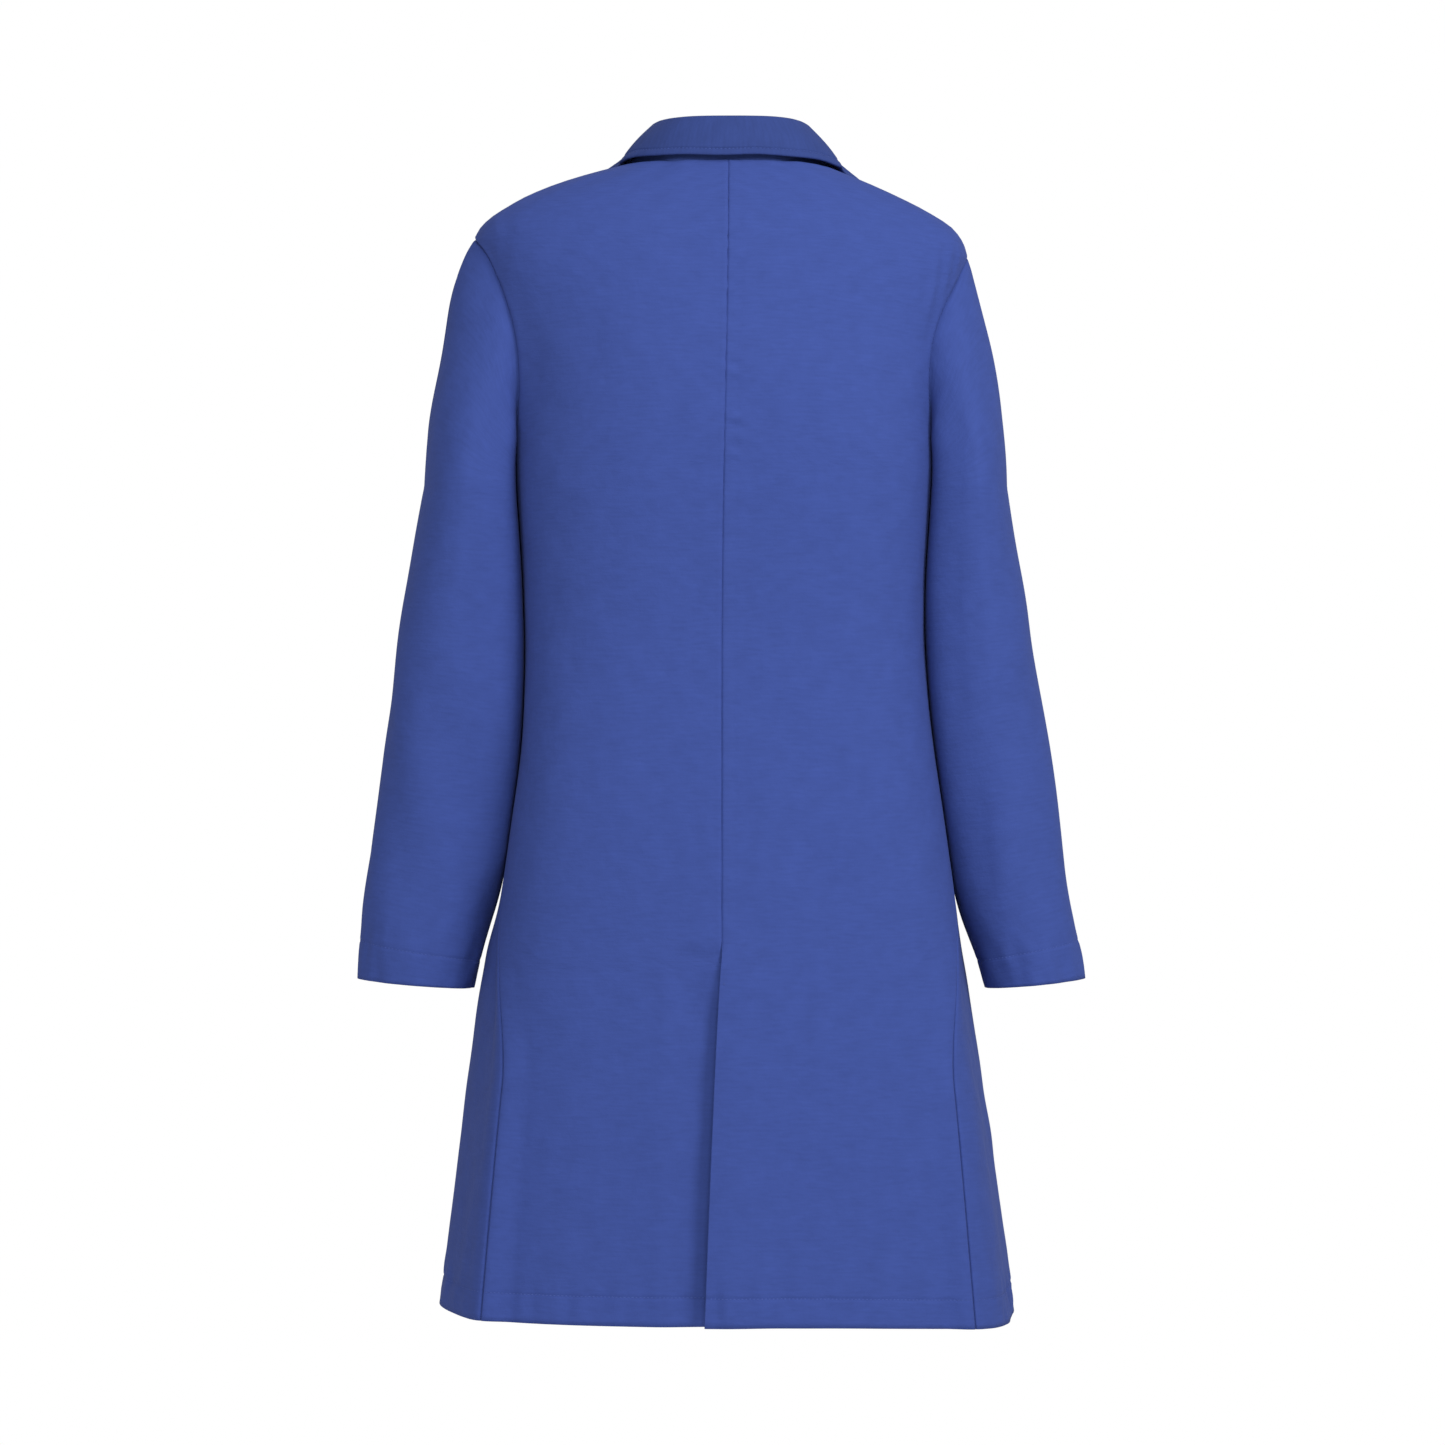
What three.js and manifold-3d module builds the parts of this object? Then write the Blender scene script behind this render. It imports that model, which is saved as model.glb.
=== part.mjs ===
// Knee-length lab coat, closed and filled out as if worn: cloth panels, notched collar and lapels,
// set-in sleeves, patch pockets, a centre-back vent and four press studs.
// Units are millimetres. +Z is up, the front faces -Y and the wearer's left is +X.
// The origin lies on the centre plane at the height of the back neck seam.

import * as THREE from "three";
import { mergeVertices } from "three/addons/utils/BufferGeometryUtils.js";
import Module from "manifold-3d";

const wasm = await Module();
wasm.setup();

// ---------------------------------------------------------------- driving dimensions

const BACK_LENGTH = 975; // back neck seam to hem
const NECK_HALF_WIDTH = 92;
const SHOULDER_HALF_WIDTH = 212;
const CHEST_HALF_WIDTH = 173;
const WAIST_HALF_WIDTH = 167;
const HEM_HALF_WIDTH = 243;
const SHOULDER_DROP = 68; // height lost from the neck to the shoulder point
const CHEST_HEIGHT = -262; // level of the underarm
const WAIST_HEIGHT = -405;
const HIP_HEIGHT = -573;
const HIP_HALF_WIDTH = 187;
const NECK_BACK_DEPTH = 58;
const CHEST_BACK_DEPTH = 114;
const WAIST_BACK_DEPTH = 107;
const HEM_BACK_DEPTH = 143;
const CHEST_FRONT_DEPTH = 119;
const WAIST_FRONT_DEPTH = 123;
const HEM_FRONT_DEPTH = 146;
const BACK_SQUARENESS = 2.35; // superellipse powers of the two halves of a section
const FRONT_SQUARENESS = 2.7;

const CLOTH = 1; // thickness of one layer, with its seam allowances
const GAP = 0.4; // free space between pieces that are sewn or laid together
const LAYER_GAP = 0.35; // free space between a panel and its facing
const SEAM_ANGLE = 0.002; // half the gap along a side or shoulder seam, in radians
const SEAM_GAP = 0.3; // half the gap along the centre-back seam

const SEAM_RATIO_CHEST = 0.93; // where the side seam stands, as a share of the half width
const SEAM_RATIO_HEM = 0.85;

const LAP_HALF = 20; // each front passes the centre line by this much
const LAP_DROP = 7; // the under front lies this far behind the over front
const LAP_BLEND = 40; // width over which it sinks there
const LAP_SINK_TOP = -130; // it starts to sink at this height
const LAP_SINK_LENGTH = 90;
const BREAK_HEIGHT = -285; // foot of the lapels
const ROLL_TOP_HEIGHT = -30;
const ROLL_TOP_HALF_WIDTH = 60;
const FACING_WIDTH = 55;
const FACING_TOP = -60;

const VENT_LENGTH = 303;
const VENT_UNDERLAP = 40;
const VENT_OVERLAP = 14; // how far the over flap passes the centre at the hem
const VENT_DROP = 2.4; // the under flap lies this far behind the over flap
const VENT_SLANT = 13; // height over which the left edge steps out to its underlap
// A folding corner is cut off along a straight line: x and z of its apex and of its foot at the hem.
const VENT_TOP = -BACK_LENGTH + VENT_LENGTH;
const VENT_OVER_FOLD = { apex: { x: 0, z: VENT_TOP }, foot: { x: -110, z: -BACK_LENGTH } };
const VENT_UNDER_FOLD = { apex: { x: -VENT_UNDERLAP, z: VENT_TOP - 114 }, foot: { x: 90, z: -BACK_LENGTH } };
const FRONT_OVER_FOLD = { apex: { x: LAP_HALF, z: -325 }, foot: { x: -150, z: -BACK_LENGTH } };
const FRONT_UNDER_FOLD = { apex: { x: -LAP_HALF, z: -488 }, foot: { x: 150, z: -BACK_LENGTH } };
const FOLD_GAP = 0.9; // cut between a panel and its folding corner

const ARMHOLE_HALF_DEPTH = 54;
const ARMHOLE_HALF_HEIGHT = 99;
const ARMHOLE_CENTRE_Y = -3;
const SLEEVE_CLEARANCE = 0.6;
const SLEEVE_Y = -4;
const SLEEVE_HEAD_SLOPE = 0.42; // outward lean where the sleeve leaves the shoulder
const SLEEVE_HEAD_SPREAD = 0.35; // lean towards the back and front there
const SLEEVE_FACETS = 18;
const SLEEVE_BEND_LENGTH = 110; // length of the stretch that bends when the sleeve is raised
// Each station of the sleeve: height, centre, half width and half depth.
const SLEEVE_STATIONS = [
  { z: -275, x: 214, width: 38, depth: 73 },
  { z: -385, x: 220.5, width: 49.5, depth: 61 },
  { z: -521, x: 236, width: 53.5, depth: 52 },
  { z: -620, x: 252, width: 51.5, depth: 46 },
  { z: -700, x: 266, width: 47, depth: 41 },
];

const COLLAR_LAYERS = { upper: 1, interlining: 0.6, under: 1 };
const COLLAR_CREST = 5; // half the width of the fold at the top of the stand
const COLLAR_SEAT = 0.8; // the stand starts this far above the neck edge

const LAPEL_TIP = { x: 122, z: -102 };
const LAPEL_GORGE = { x: 54, z: -50 };
const LAPEL_THICKNESS = 2;
const LAPEL_RIGHT_FOOT = 0.06; // share of the lapel's rise at which each one starts
const LAPEL_LEFT_FOOT = 0.28;
const LAPEL_BELLY = 0.86; // below 1, the lapel's outer edge curves outwards
const ROLL_GAP = 0.4; // free space along the roll line

const POCKET = { inner: 82, outerTop: 172, outerBottom: 186, top: -505, bottom: -685, belly: 14 };
const CHEST_POCKET = { inner: 66, outerTop: 148, outerBottom: 146, top: -228, bottom: -346, belly: 11 };

const STUD_COUNT = 4;
const STUD_FIRST = -300;
const STUD_SPACING = 148;
const STUD_CAP_RADIUS = 7;
const STUD_SOCKET_RADIUS = 5;
const STUD_CAVITY_RADIUS = 3.4;
const STUD_HEAD_RADIUS = 2;
const STUD_SOCKET_HEIGHT = 2.2;
const STUD_SEAT = 0.65; // free space between a stud piece and the cloth it is pressed on

const NECK_FACING_HEIGHT = 50;
const NECK_FACING_START = 0.375; // share of the way from the shoulder seam to the centre back
const LOOP = { halfWidth: 30, drop: 16, band: 6, thickness: 1.2, top: -4 };
const LABEL = { halfWidth: 20, top: -24, bottom: -44, thickness: 0.6 };

const SLEEVE_BEND_TOP = SLEEVE_STATIONS[0].z;

// ---------------------------------------------------------------- small helpers

const clamp01 = (t) => Math.min(1, Math.max(0, t));
const smooth = (t) => clamp01(t) ** 2 * (3 - 2 * clamp01(t));
const lerp = (a, b, t) => a + (b - a) * t;
const range = (n) => Array.from({ length: n }, (_, i) => i);

// A smooth curve through (key, value) pairs whose keys fall.
function through(pairs) {
  const slope = (i) => {
    const [a, b] = [pairs[Math.max(i - 1, 0)], pairs[Math.min(i + 1, pairs.length - 1)]];
    return (b[1] - a[1]) / (b[0] - a[0]);
  };
  return (key) => {
    let i = 0;
    while (i < pairs.length - 2 && key < pairs[i + 1][0]) i++;
    const [k0, v0] = pairs[i];
    const [k1, v1] = pairs[i + 1];
    const t = clamp01((key - k0) / (k1 - k0));
    const span = k1 - k0;
    const start = slope(i) * span;
    const end = slope(i + 1) * span;
    return (
      v0 * (2 * t ** 3 - 3 * t ** 2 + 1) +
      start * (t ** 3 - 2 * t ** 2 + t) +
      v1 * (3 * t ** 2 - 2 * t ** 3) +
      end * (t ** 3 - t ** 2)
    );
  };
}

// ---------------------------------------------------------------- the body's surface

const bodyWidth = through([
  [-SHOULDER_DROP, SHOULDER_HALF_WIDTH],
  [-SHOULDER_DROP - 45, lerp(SHOULDER_HALF_WIDTH, CHEST_HALF_WIDTH, 0.42)],
  [CHEST_HEIGHT + 70, lerp(SHOULDER_HALF_WIDTH, CHEST_HALF_WIDTH, 0.9)],
  [CHEST_HEIGHT, CHEST_HALF_WIDTH],
  [WAIST_HEIGHT, WAIST_HALF_WIDTH],
  [HIP_HEIGHT, HIP_HALF_WIDTH],
  [lerp(HIP_HEIGHT, -BACK_LENGTH, 0.5), lerp(HIP_HALF_WIDTH, HEM_HALF_WIDTH, 0.53)],
  [-BACK_LENGTH, HEM_HALF_WIDTH],
]);

const backDepth = through([
  [0, NECK_BACK_DEPTH],
  [-SHOULDER_DROP, lerp(NECK_BACK_DEPTH, CHEST_BACK_DEPTH, 0.52)],
  [CHEST_HEIGHT + 100, CHEST_BACK_DEPTH - 4],
  [CHEST_HEIGHT + 30, CHEST_BACK_DEPTH],
  [WAIST_HEIGHT, WAIST_BACK_DEPTH],
  [HIP_HEIGHT, lerp(WAIST_BACK_DEPTH, HEM_BACK_DEPTH, 0.33)],
  [-BACK_LENGTH, HEM_BACK_DEPTH],
]);

const frontDepth = through([
  [0, CHEST_FRONT_DEPTH * 0.29],
  [-45, CHEST_FRONT_DEPTH * 0.56],
  [-110, CHEST_FRONT_DEPTH * 0.84],
  [-180, CHEST_FRONT_DEPTH * 0.98],
  [WAIST_HEIGHT, WAIST_FRONT_DEPTH],
  [HIP_HEIGHT, lerp(WAIST_FRONT_DEPTH, HEM_FRONT_DEPTH, 0.28)],
  [-BACK_LENGTH, HEM_FRONT_DEPTH],
]);

function halfWidth(z) {
  if (z <= -SHOULDER_DROP) return bodyWidth(z);
  const left = 1 + z / SHOULDER_DROP;
  return lerp(NECK_HALF_WIDTH, SHOULDER_HALF_WIDTH, 1 - left * left);
}

// angle 0 is the wearer's left side, 90 degrees the centre back and -90 degrees the centre front.
function onBody(angle, z) {
  const back = Math.sin(angle) >= 0;
  const power = back ? BACK_SQUARENESS : FRONT_SQUARENESS;
  const [c, s] = [Math.cos(angle), Math.sin(angle)];
  const reach = (Math.abs(c) ** power + Math.abs(s) ** power) ** (-1 / power);
  return new THREE.Vector3(halfWidth(z) * reach * c, (back ? backDepth(z) : frontDepth(z)) * reach * s, z);
}

function bodyNormal(angle, z) {
  const step = 0.01;
  const drop = 1;
  const along = onBody(angle + step, z).sub(onBody(angle - step, z));
  const up = onBody(angle, Math.min(z + drop, 0)).sub(onBody(angle, z - drop));
  return along.cross(up).normalize();
}

const bodyPoint = (angle, z, offset) =>
  onBody(angle, z).addScaledVector(bodyNormal(angle, z), offset);

// The angle at which the front or back of the body reaches this share of its half width.
function angleAtShare(share, back) {
  const power = back ? BACK_SQUARENESS : FRONT_SQUARENESS;
  const across = Math.sign(share) * Math.min(1, Math.abs(share));
  const depth = (1 - Math.abs(across) ** power) ** (1 / power);
  return (back ? 1 : -1) * Math.atan2(depth, across);
}

const angleAt = (x, z, back) => angleAtShare(x / halfWidth(z), back);

// The side seam, which runs into the shoulder seam inside the armhole.
function seamAngle(z) {
  const below = clamp01((CHEST_HEIGHT - z) / (BACK_LENGTH + CHEST_HEIGHT));
  const angle = angleAtShare(lerp(SEAM_RATIO_CHEST, SEAM_RATIO_HEM, below), true);
  return angle * smooth((z - (CHEST_HEIGHT + 110)) / -110);
}

// ---------------------------------------------------------------- shells

// A sheet of cloth as a closed solid. point(u, v, depth) gives the surface and what lies under it.
// If wraps is true, u runs round a tube.
function shell(point, columns, rows, thickness, wraps = false) {
  const positions = [];
  const index = [];
  const across = columns.length;
  for (const depth of [0, thickness]) {
    for (const v of rows) for (const u of columns) positions.push(...point(u, v, depth).toArray());
  }
  const at = (side, row, column) => (side * rows.length + row) * across + (column % across);
  const quad = (a, b, c, d) => index.push(a, b, c, a, c, d);
  const cells = wraps ? across : across - 1;
  for (const row of range(rows.length - 1)) {
    for (const column of range(cells)) {
      const corners = [
        [row, column],
        [row + 1, column],
        [row + 1, column + 1],
        [row, column + 1],
      ];
      const [a, b, c, d] = corners;
      quad(...[a, b, c, d].map(([r, k]) => at(0, r, k)));
      quad(...[a, d, c, b].map(([r, k]) => at(1, r, k)));
    }
  }
  for (const column of range(cells)) {
    const [first, last] = [0, rows.length - 1];
    quad(at(0, first, column), at(0, first, column + 1), at(1, first, column + 1), at(1, first, column));
    quad(at(0, last, column + 1), at(0, last, column), at(1, last, column), at(1, last, column + 1));
  }
  if (!wraps) {
    for (const row of range(rows.length - 1)) {
      const last = across - 1;
      quad(at(0, row + 1, 0), at(0, row, 0), at(1, row, 0), at(1, row + 1, 0));
      quad(at(0, row, last), at(0, row + 1, last), at(1, row + 1, last), at(1, row, last));
    }
  }
  const geometry = new THREE.BufferGeometry();
  geometry.setAttribute("position", new THREE.Float32BufferAttribute(positions, 3));
  geometry.setIndex(index);
  return geometry;
}

const steps = (from, to, count) => range(count + 1).map((i) => lerp(from, to, i / count));

// ---------------------------------------------------------------- booleans

function solid(geometry) {
  const bare = geometry.clone();
  bare.deleteAttribute("normal");
  bare.deleteAttribute("uv");
  const merged = mergeVertices(bare);
  const mesh = new wasm.Mesh({
    numProp: 3,
    vertProperties: merged.attributes.position.array,
    triVerts: new Uint32Array(merged.index.array),
  });
  const made = new wasm.Manifold(mesh);
  if (made.volume() >= 0) return made;
  const turned = new Uint32Array(merged.index.array);
  for (let i = 0; i < turned.length; i += 3) [turned[i + 1], turned[i + 2]] = [turned[i + 2], turned[i + 1]];
  const vertProperties = mesh.vertProperties;
  return new wasm.Manifold(new wasm.Mesh({ numProp: 3, vertProperties, triVerts: turned }));
}

function geometryOf(manifold) {
  const mesh = manifold.getMesh();
  const geometry = new THREE.BufferGeometry();
  geometry.setAttribute("position", new THREE.Float32BufferAttribute(mesh.vertProperties, 3));
  geometry.setIndex(Array.from(mesh.triVerts));
  geometry.computeVertexNormals();
  return geometry;
}

// Keeps the part of a sheet that lies within an outline drawn in the XZ plane.
function within(sheet, outline) {
  const shape = new THREE.Shape(outline.map(([x, z]) => new THREE.Vector2(x, z)));
  const depth = 4 * HEM_FRONT_DEPTH;
  const block = new THREE.ExtrudeGeometry(shape, { depth, bevelEnabled: false });
  block.translate(0, 0, -depth / 2);
  block.rotateX(Math.PI / 2);
  return sheet.intersect(solid(block));
}

// The same solid, turned the right way out if its faces pointed inwards.
const facingOut = (geometry) => geometryOf(solid(geometry));
const shellFacingOut = (...sheet) => facingOut(shell(...sheet));

// The half of space beyond a vertical-edged plane through two points of the XZ plane.
function beyond(from, to, shift) {
  const size = 4 * BACK_LENGTH;
  const along = new THREE.Vector3(to.x - from.x, 0, to.z - from.z).normalize();
  const depth = new THREE.Vector3(0, 1, 0);
  const across = along.clone().cross(depth);
  const box = new THREE.BoxGeometry(size, size, size);
  box.applyMatrix4(new THREE.Matrix4().makeBasis(across, depth, along));
  const centre = across.multiplyScalar(size / 2 + shift);
  box.translate(from.x + centre.x, 0, from.z + centre.z);
  return solid(box);
}

// Cuts a panel along a fold line into the part that stays and the corner that folds.
function splitAt(panel, side, { apex, foot }) {
  const [from, to] = side > 0 ? [foot, apex] : [apex, foot];
  return {
    corner: panel.intersect(beyond(from, to, FOLD_GAP / 2)),
    rest: panel.subtract(beyond(from, to, -FOLD_GAP / 2)),
  };
}

// ---------------------------------------------------------------- materials

const CLOTH_BLUE = { color: 0x3a4c9c, roughness: 0.82, metalness: 0 };
const cloth = new THREE.MeshStandardMaterial(CLOTH_BLUE);
const lining = new THREE.MeshStandardMaterial({ color: 0x2c3a78, roughness: 0.9, metalness: 0 });
const interlining = new THREE.MeshStandardMaterial({ color: 0xe8e8e4, roughness: 0.95, metalness: 0 });
const enamel = new THREE.MeshStandardMaterial({ color: 0x2b3a80, roughness: 0.35, metalness: 0.2 });
const steel = new THREE.MeshStandardMaterial({ color: 0xb8bcc2, roughness: 0.3, metalness: 1 });
const tape = new THREE.MeshStandardMaterial({ color: 0x26336e, roughness: 0.85, metalness: 0 });
const labelCloth = new THREE.MeshStandardMaterial({ color: 0xf0f0ee, roughness: 0.9, metalness: 0 });

const coat = new THREE.Group();

function add(name, geometry, material) {
  const mesh = new THREE.Mesh(geometry, material);
  mesh.name = name;
  coat.add(mesh);
  return mesh;
}

const addSolid = (name, manifold, material) => add(name, geometryOf(manifold), material);

// Everything drawn for the wearer's left (side 1) is mirrored for the right (side -1).
const mirror = (point, side) => point.set(point.x * side, point.y, point.z);

// ---------------------------------------------------------------- back panels

// Heights from the neck to the hem at which a panel's section is drawn.
const rowsOf = (...heights) =>
  [...new Set(heights.flat())].filter((z) => z >= -BACK_LENGTH).sort((a, b) => b - a);

const VENT_ROWS = [VENT_TOP + 30, VENT_TOP + 1, VENT_TOP + 1 - VENT_SLANT];
const BODY_ROWS = rowsOf(
  [0, -6, -16, -32, -50, -SHOULDER_DROP, -100, -150, -205, CHEST_HEIGHT, -330],
  [WAIST_HEIGHT, -480, HIP_HEIGHT],
  VENT_ROWS,
  steps(VENT_TOP - 70, -BACK_LENGTH, 3),
);

// How far behind the over flap the left back lies: it sinks just above the vent and towards the centre.
function ventDrop(x, z) {
  const down = smooth((VENT_ROWS[0] - z) / (VENT_ROWS[0] - VENT_ROWS[1]));
  return VENT_DROP * down * smooth((VENT_UNDERLAP + 20 - x) / VENT_UNDERLAP);
}

function backEdge(side, z) {
  const below = clamp01((VENT_TOP - z) / VENT_LENGTH);
  if (side > 0) return lerp(SEAM_GAP, -VENT_UNDERLAP, clamp01((VENT_ROWS[1] - z) / VENT_SLANT));
  return below > 0 ? -lerp(0, VENT_OVERLAP, below) : SEAM_GAP;
}

// The point of a back panel at share u from the side seam to its centre edge, on its own side.
function backPoint(side, u, z, depth) {
  const from = seamAngle(z) + SEAM_ANGLE;
  const to = angleAt(backEdge(side, z), z, true);
  const angle = lerp(from, to, u);
  const drop = side > 0 ? ventDrop(onBody(angle, z).x, z) : 0;
  return mirror(bodyPoint(angle, z, -drop - depth), side);
}

const armhole = (side) => {
  const cylinder = new THREE.CylinderGeometry(1, 1, 2 * SHOULDER_HALF_WIDTH, 40);
  cylinder.rotateZ(Math.PI / 2);
  cylinder.scale(1, ARMHOLE_HALF_DEPTH, ARMHOLE_HALF_HEIGHT);
  cylinder.translate(side * (SHOULDER_HALF_WIDTH + 100), ARMHOLE_CENTRE_Y, CHEST_HEIGHT + ARMHOLE_HALF_HEIGHT);
  return solid(cylinder);
};

function backPanels() {
  for (const side of [1, -1]) {
    const word = side > 0 ? "left" : "right";
    const sheet = shell((u, z, d) => backPoint(side, u, z, d), steps(0, 1, 8), BODY_ROWS, CLOTH);
    const panel = solid(sheet).subtract(armhole(side));
    const fold = side > 0 ? VENT_UNDER_FOLD : VENT_OVER_FOLD;
    const { corner, rest } = splitAt(panel, side, fold);
    addSolid(`back_${word}_panel`, rest, cloth);
    addSolid(`vent_${side > 0 ? "under" : "over"}_flap`, corner, cloth);
  }
}

// ---------------------------------------------------------------- front panels and facings

const FRONT_ROWS = rowsOf(
  [0, -12, ROLL_TOP_HEIGHT, -50, -SHOULDER_DROP, -100, -150, -205, CHEST_HEIGHT],
  [BREAK_HEIGHT, -345, WAIST_HEIGHT, -480, HIP_HEIGHT],
  steps(HIP_HEIGHT - 67, -BACK_LENGTH, 5),
);

// The free edge of a front on its own side: past the centre below the lapels, and up their roll line.
function frontEdge(z) {
  if (z <= BREAK_HEIGHT) return -LAP_HALF;
  if (z <= ROLL_TOP_HEIGHT) {
    const up = (z - BREAK_HEIGHT) / (ROLL_TOP_HEIGHT - BREAK_HEIGHT);
    return lerp(-LAP_HALF, ROLL_TOP_HALF_WIDTH, up);
  }
  return lerp(ROLL_TOP_HALF_WIDTH, NECK_HALF_WIDTH - 4, 1 - z / ROLL_TOP_HEIGHT);
}

// How far behind the over front the left front lies near the centre.
function lapDrop(x, z) {
  const towardsCentre = smooth((LAP_HALF + 5 + LAP_BLEND - x) / LAP_BLEND);
  return LAP_DROP * towardsCentre * smooth((LAP_SINK_TOP - z) / LAP_SINK_LENGTH);
}

const frontDrop = (side, x, z) => (side > 0 ? lapDrop(x, z) : 0);

function frontPoint(side, x, z, depth) {
  return mirror(bodyPoint(angleAt(x, z, false), z, -frontDrop(side, x, z) - depth), side);
}

function frontSheet(side, u, z, depth) {
  const from = seamAngle(z) - SEAM_ANGLE;
  const angle = lerp(from, angleAt(frontEdge(z), z, false), u);
  return mirror(bodyPoint(angle, z, -frontDrop(side, onBody(angle, z).x, z) - depth), side);
}

const frontLayer = (side, depth, thickness) =>
  solid(shell((u, z, d) => frontSheet(side, u, z, depth + d), steps(0, 1, 11), FRONT_ROWS, thickness));

function frontPanels() {
  for (const side of [1, -1]) {
    const word = side > 0 ? "left" : "right";
    const layer = side > 0 ? "under" : "over";
    const fold = side > 0 ? FRONT_UNDER_FOLD : FRONT_OVER_FOLD;

    const panel = splitAt(frontLayer(side, 0, CLOTH).subtract(armhole(side)), side, fold);
    addSolid(`front_${word}_panel`, panel.rest, cloth);
    addSolid(`front_${layer}_flap`, panel.corner, cloth);

    const heights = [-BACK_LENGTH - 1, BREAK_HEIGHT, FACING_TOP];
    const inner = heights.map((z) => [side * (frontEdge(z) - 1), z]);
    const outer = heights.map((z) => [side * (frontEdge(z) + FACING_WIDTH), z]).reverse();
    const strip = within(frontLayer(side, CLOTH + LAYER_GAP, CLOTH), [...inner, ...outer]);
    const facing = splitAt(strip, side, fold);
    addSolid(`facing_${word}_upper`, facing.rest, lining);
    addSolid(`facing_${word}_lower`, facing.corner, lining);
  }
}

// ---------------------------------------------------------------- lapels

// Each lapel is the front turned back over itself along the roll line.
function lapels() {
  for (const side of [1, -1]) {
    // The left lapel comes out from under the right front where the two roll lines cross.
    const foot = side > 0 ? LAPEL_LEFT_FOOT : LAPEL_RIGHT_FOOT;
    const rise = steps(foot, 1, 8);
    const edge = rise.map((w) => [
      lerp(-LAP_HALF, LAPEL_TIP.x, w ** LAPEL_BELLY),
      lerp(BREAK_HEIGHT, LAPEL_TIP.z, w),
    ]);
    const footZ = edge[0][1];
    const roll = [LAPEL_GORGE.z, footZ].map((z) => [frontEdge(z) + ROLL_GAP, z]);
    const outline = [...edge, ...roll].map(([x, z]) => [side * x, z]);
    const layer = frontLayer(side, -GAP - LAPEL_THICKNESS, LAPEL_THICKNESS);
    addSolid(`lapel_${side > 0 ? "left" : "right"}`, within(layer, outline), cloth);
  }
}

// ---------------------------------------------------------------- collar

// Half of each of the collar's three lines, from the centre back to the front end.
const NECK_LINE = [
  [0, NECK_BACK_DEPTH - 3.4, COLLAR_SEAT],
  [48, 49, COLLAR_SEAT],
  [82, 16, COLLAR_SEAT + 0.4],
  [83, -14, COLLAR_SEAT + 0.6],
  [72, -36, -9],
  [56, -50, -26],
];
const CREST_LINE = [
  [0, 52, 38],
  [40, 42, 38],
  [61, 8, 37],
  [66, -17, 29],
  [63, -42, 13],
  [57, -63, -14],
];
// Body angle in degrees, height and distance off the cloth below.
const LEAF_LINE = [
  [90, 0, 7],
  [56, -1, 9],
  [22, -1, 7.5],
  [-14, -2, 6.5],
  [-40, -22, 7],
  [-60, -66, 5.5],
].map(([angle, z, off]) => bodyPoint(THREE.MathUtils.degToRad(angle), z, off).toArray());

function lineAt(points, s) {
  const half = points.map(([x, y, z]) => new THREE.Vector3(x, y, z));
  const other = half.slice(1).reverse().map((p) => p.clone().setX(-p.x));
  return new THREE.CatmullRomCurve3([...other, ...half]).getPoint(s);
}

// The collar's upper face at share s along it and step t across it: stand, crest, then the fall.
function collarFace(s, t) {
  const [neck, crest, leaf] = [NECK_LINE, CREST_LINE, LEAF_LINE].map((line) => lineAt(line, s));
  const up = crest.clone().sub(neck.clone().lerp(leaf, 0.5)).normalize();
  const out = leaf.clone().sub(neck);
  out.addScaledVector(up, -out.dot(up)).normalize();
  const centre = crest.clone().addScaledVector(up, -COLLAR_CREST);
  const arc = (turn) =>
    centre
      .clone()
      .addScaledVector(out, -COLLAR_CREST * Math.cos(turn))
      .addScaledVector(up, COLLAR_CREST * Math.sin(turn));
  if (t <= 1) return neck.lerp(arc(0), t);
  if (t <= 2) return arc(Math.PI * (t - 1));
  return arc(Math.PI).lerp(leaf, t - 2);
}

function collarNormal(s, t) {
  const step = 0.004;
  const [low, high] = [Math.max(s - step, 0), Math.min(s + step, 1)];
  const along = collarFace(high, t).sub(collarFace(low, t));
  const across = collarFace(s, Math.min(t + 0.08, 3)).sub(collarFace(s, Math.max(t - 0.08, 0)));
  return across.cross(along).normalize();
}

function collar() {
  const along = steps(0, 1, 16);
  const across = [0, 0.6, 1, 1.33, 1.67, 2, 2.5, 3];
  const middle = collarNormal(0.5, 1.5);
  const outward = middle.z > 0 ? 1 : -1;
  let depth = 0;
  for (const [name, material] of [["upper", cloth], ["interlining", interlining], ["under", cloth]]) {
    const thickness = COLLAR_LAYERS[name];
    const top = depth;
    const point = (s, t, d) => collarFace(s, t).addScaledVector(collarNormal(s, t), -outward * (top + d));
    const node = name === "interlining" ? "collar_interlining" : `${name}_collar`;
    add(node, shellFacingOut(point, along, across, thickness), material);
    depth += thickness + GAP;
  }
}

// ---------------------------------------------------------------- sleeves

const stationValue = (key) => through(SLEEVE_STATIONS.map((s) => [s.z, s[key]]));
const sleeveX = stationValue("x");
const sleeveWidth = stationValue("width");
const sleeveDepth = stationValue("depth");

// Unit vector down the sleeve at a height.
function sleeveAxis(z) {
  const lean = (sleeveX(z - 10) - sleeveX(z + 10)) / 20;
  return new THREE.Vector3(lean, 0, -1).normalize();
}

// A point of the sleeve tube: turn 0 is its outer edge and 90 degrees its back.
function sleevePoint(turn, z, depth) {
  const axis = sleeveAxis(z);
  const outer = new THREE.Vector3(-axis.z, 0, axis.x);
  const across = (sleeveWidth(z) - depth) * Math.cos(turn);
  const back = (sleeveDepth(z) - depth) * Math.sin(turn);
  return new THREE.Vector3(sleeveX(z), SLEEVE_Y + back, z).addScaledVector(outer, across);
}

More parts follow.
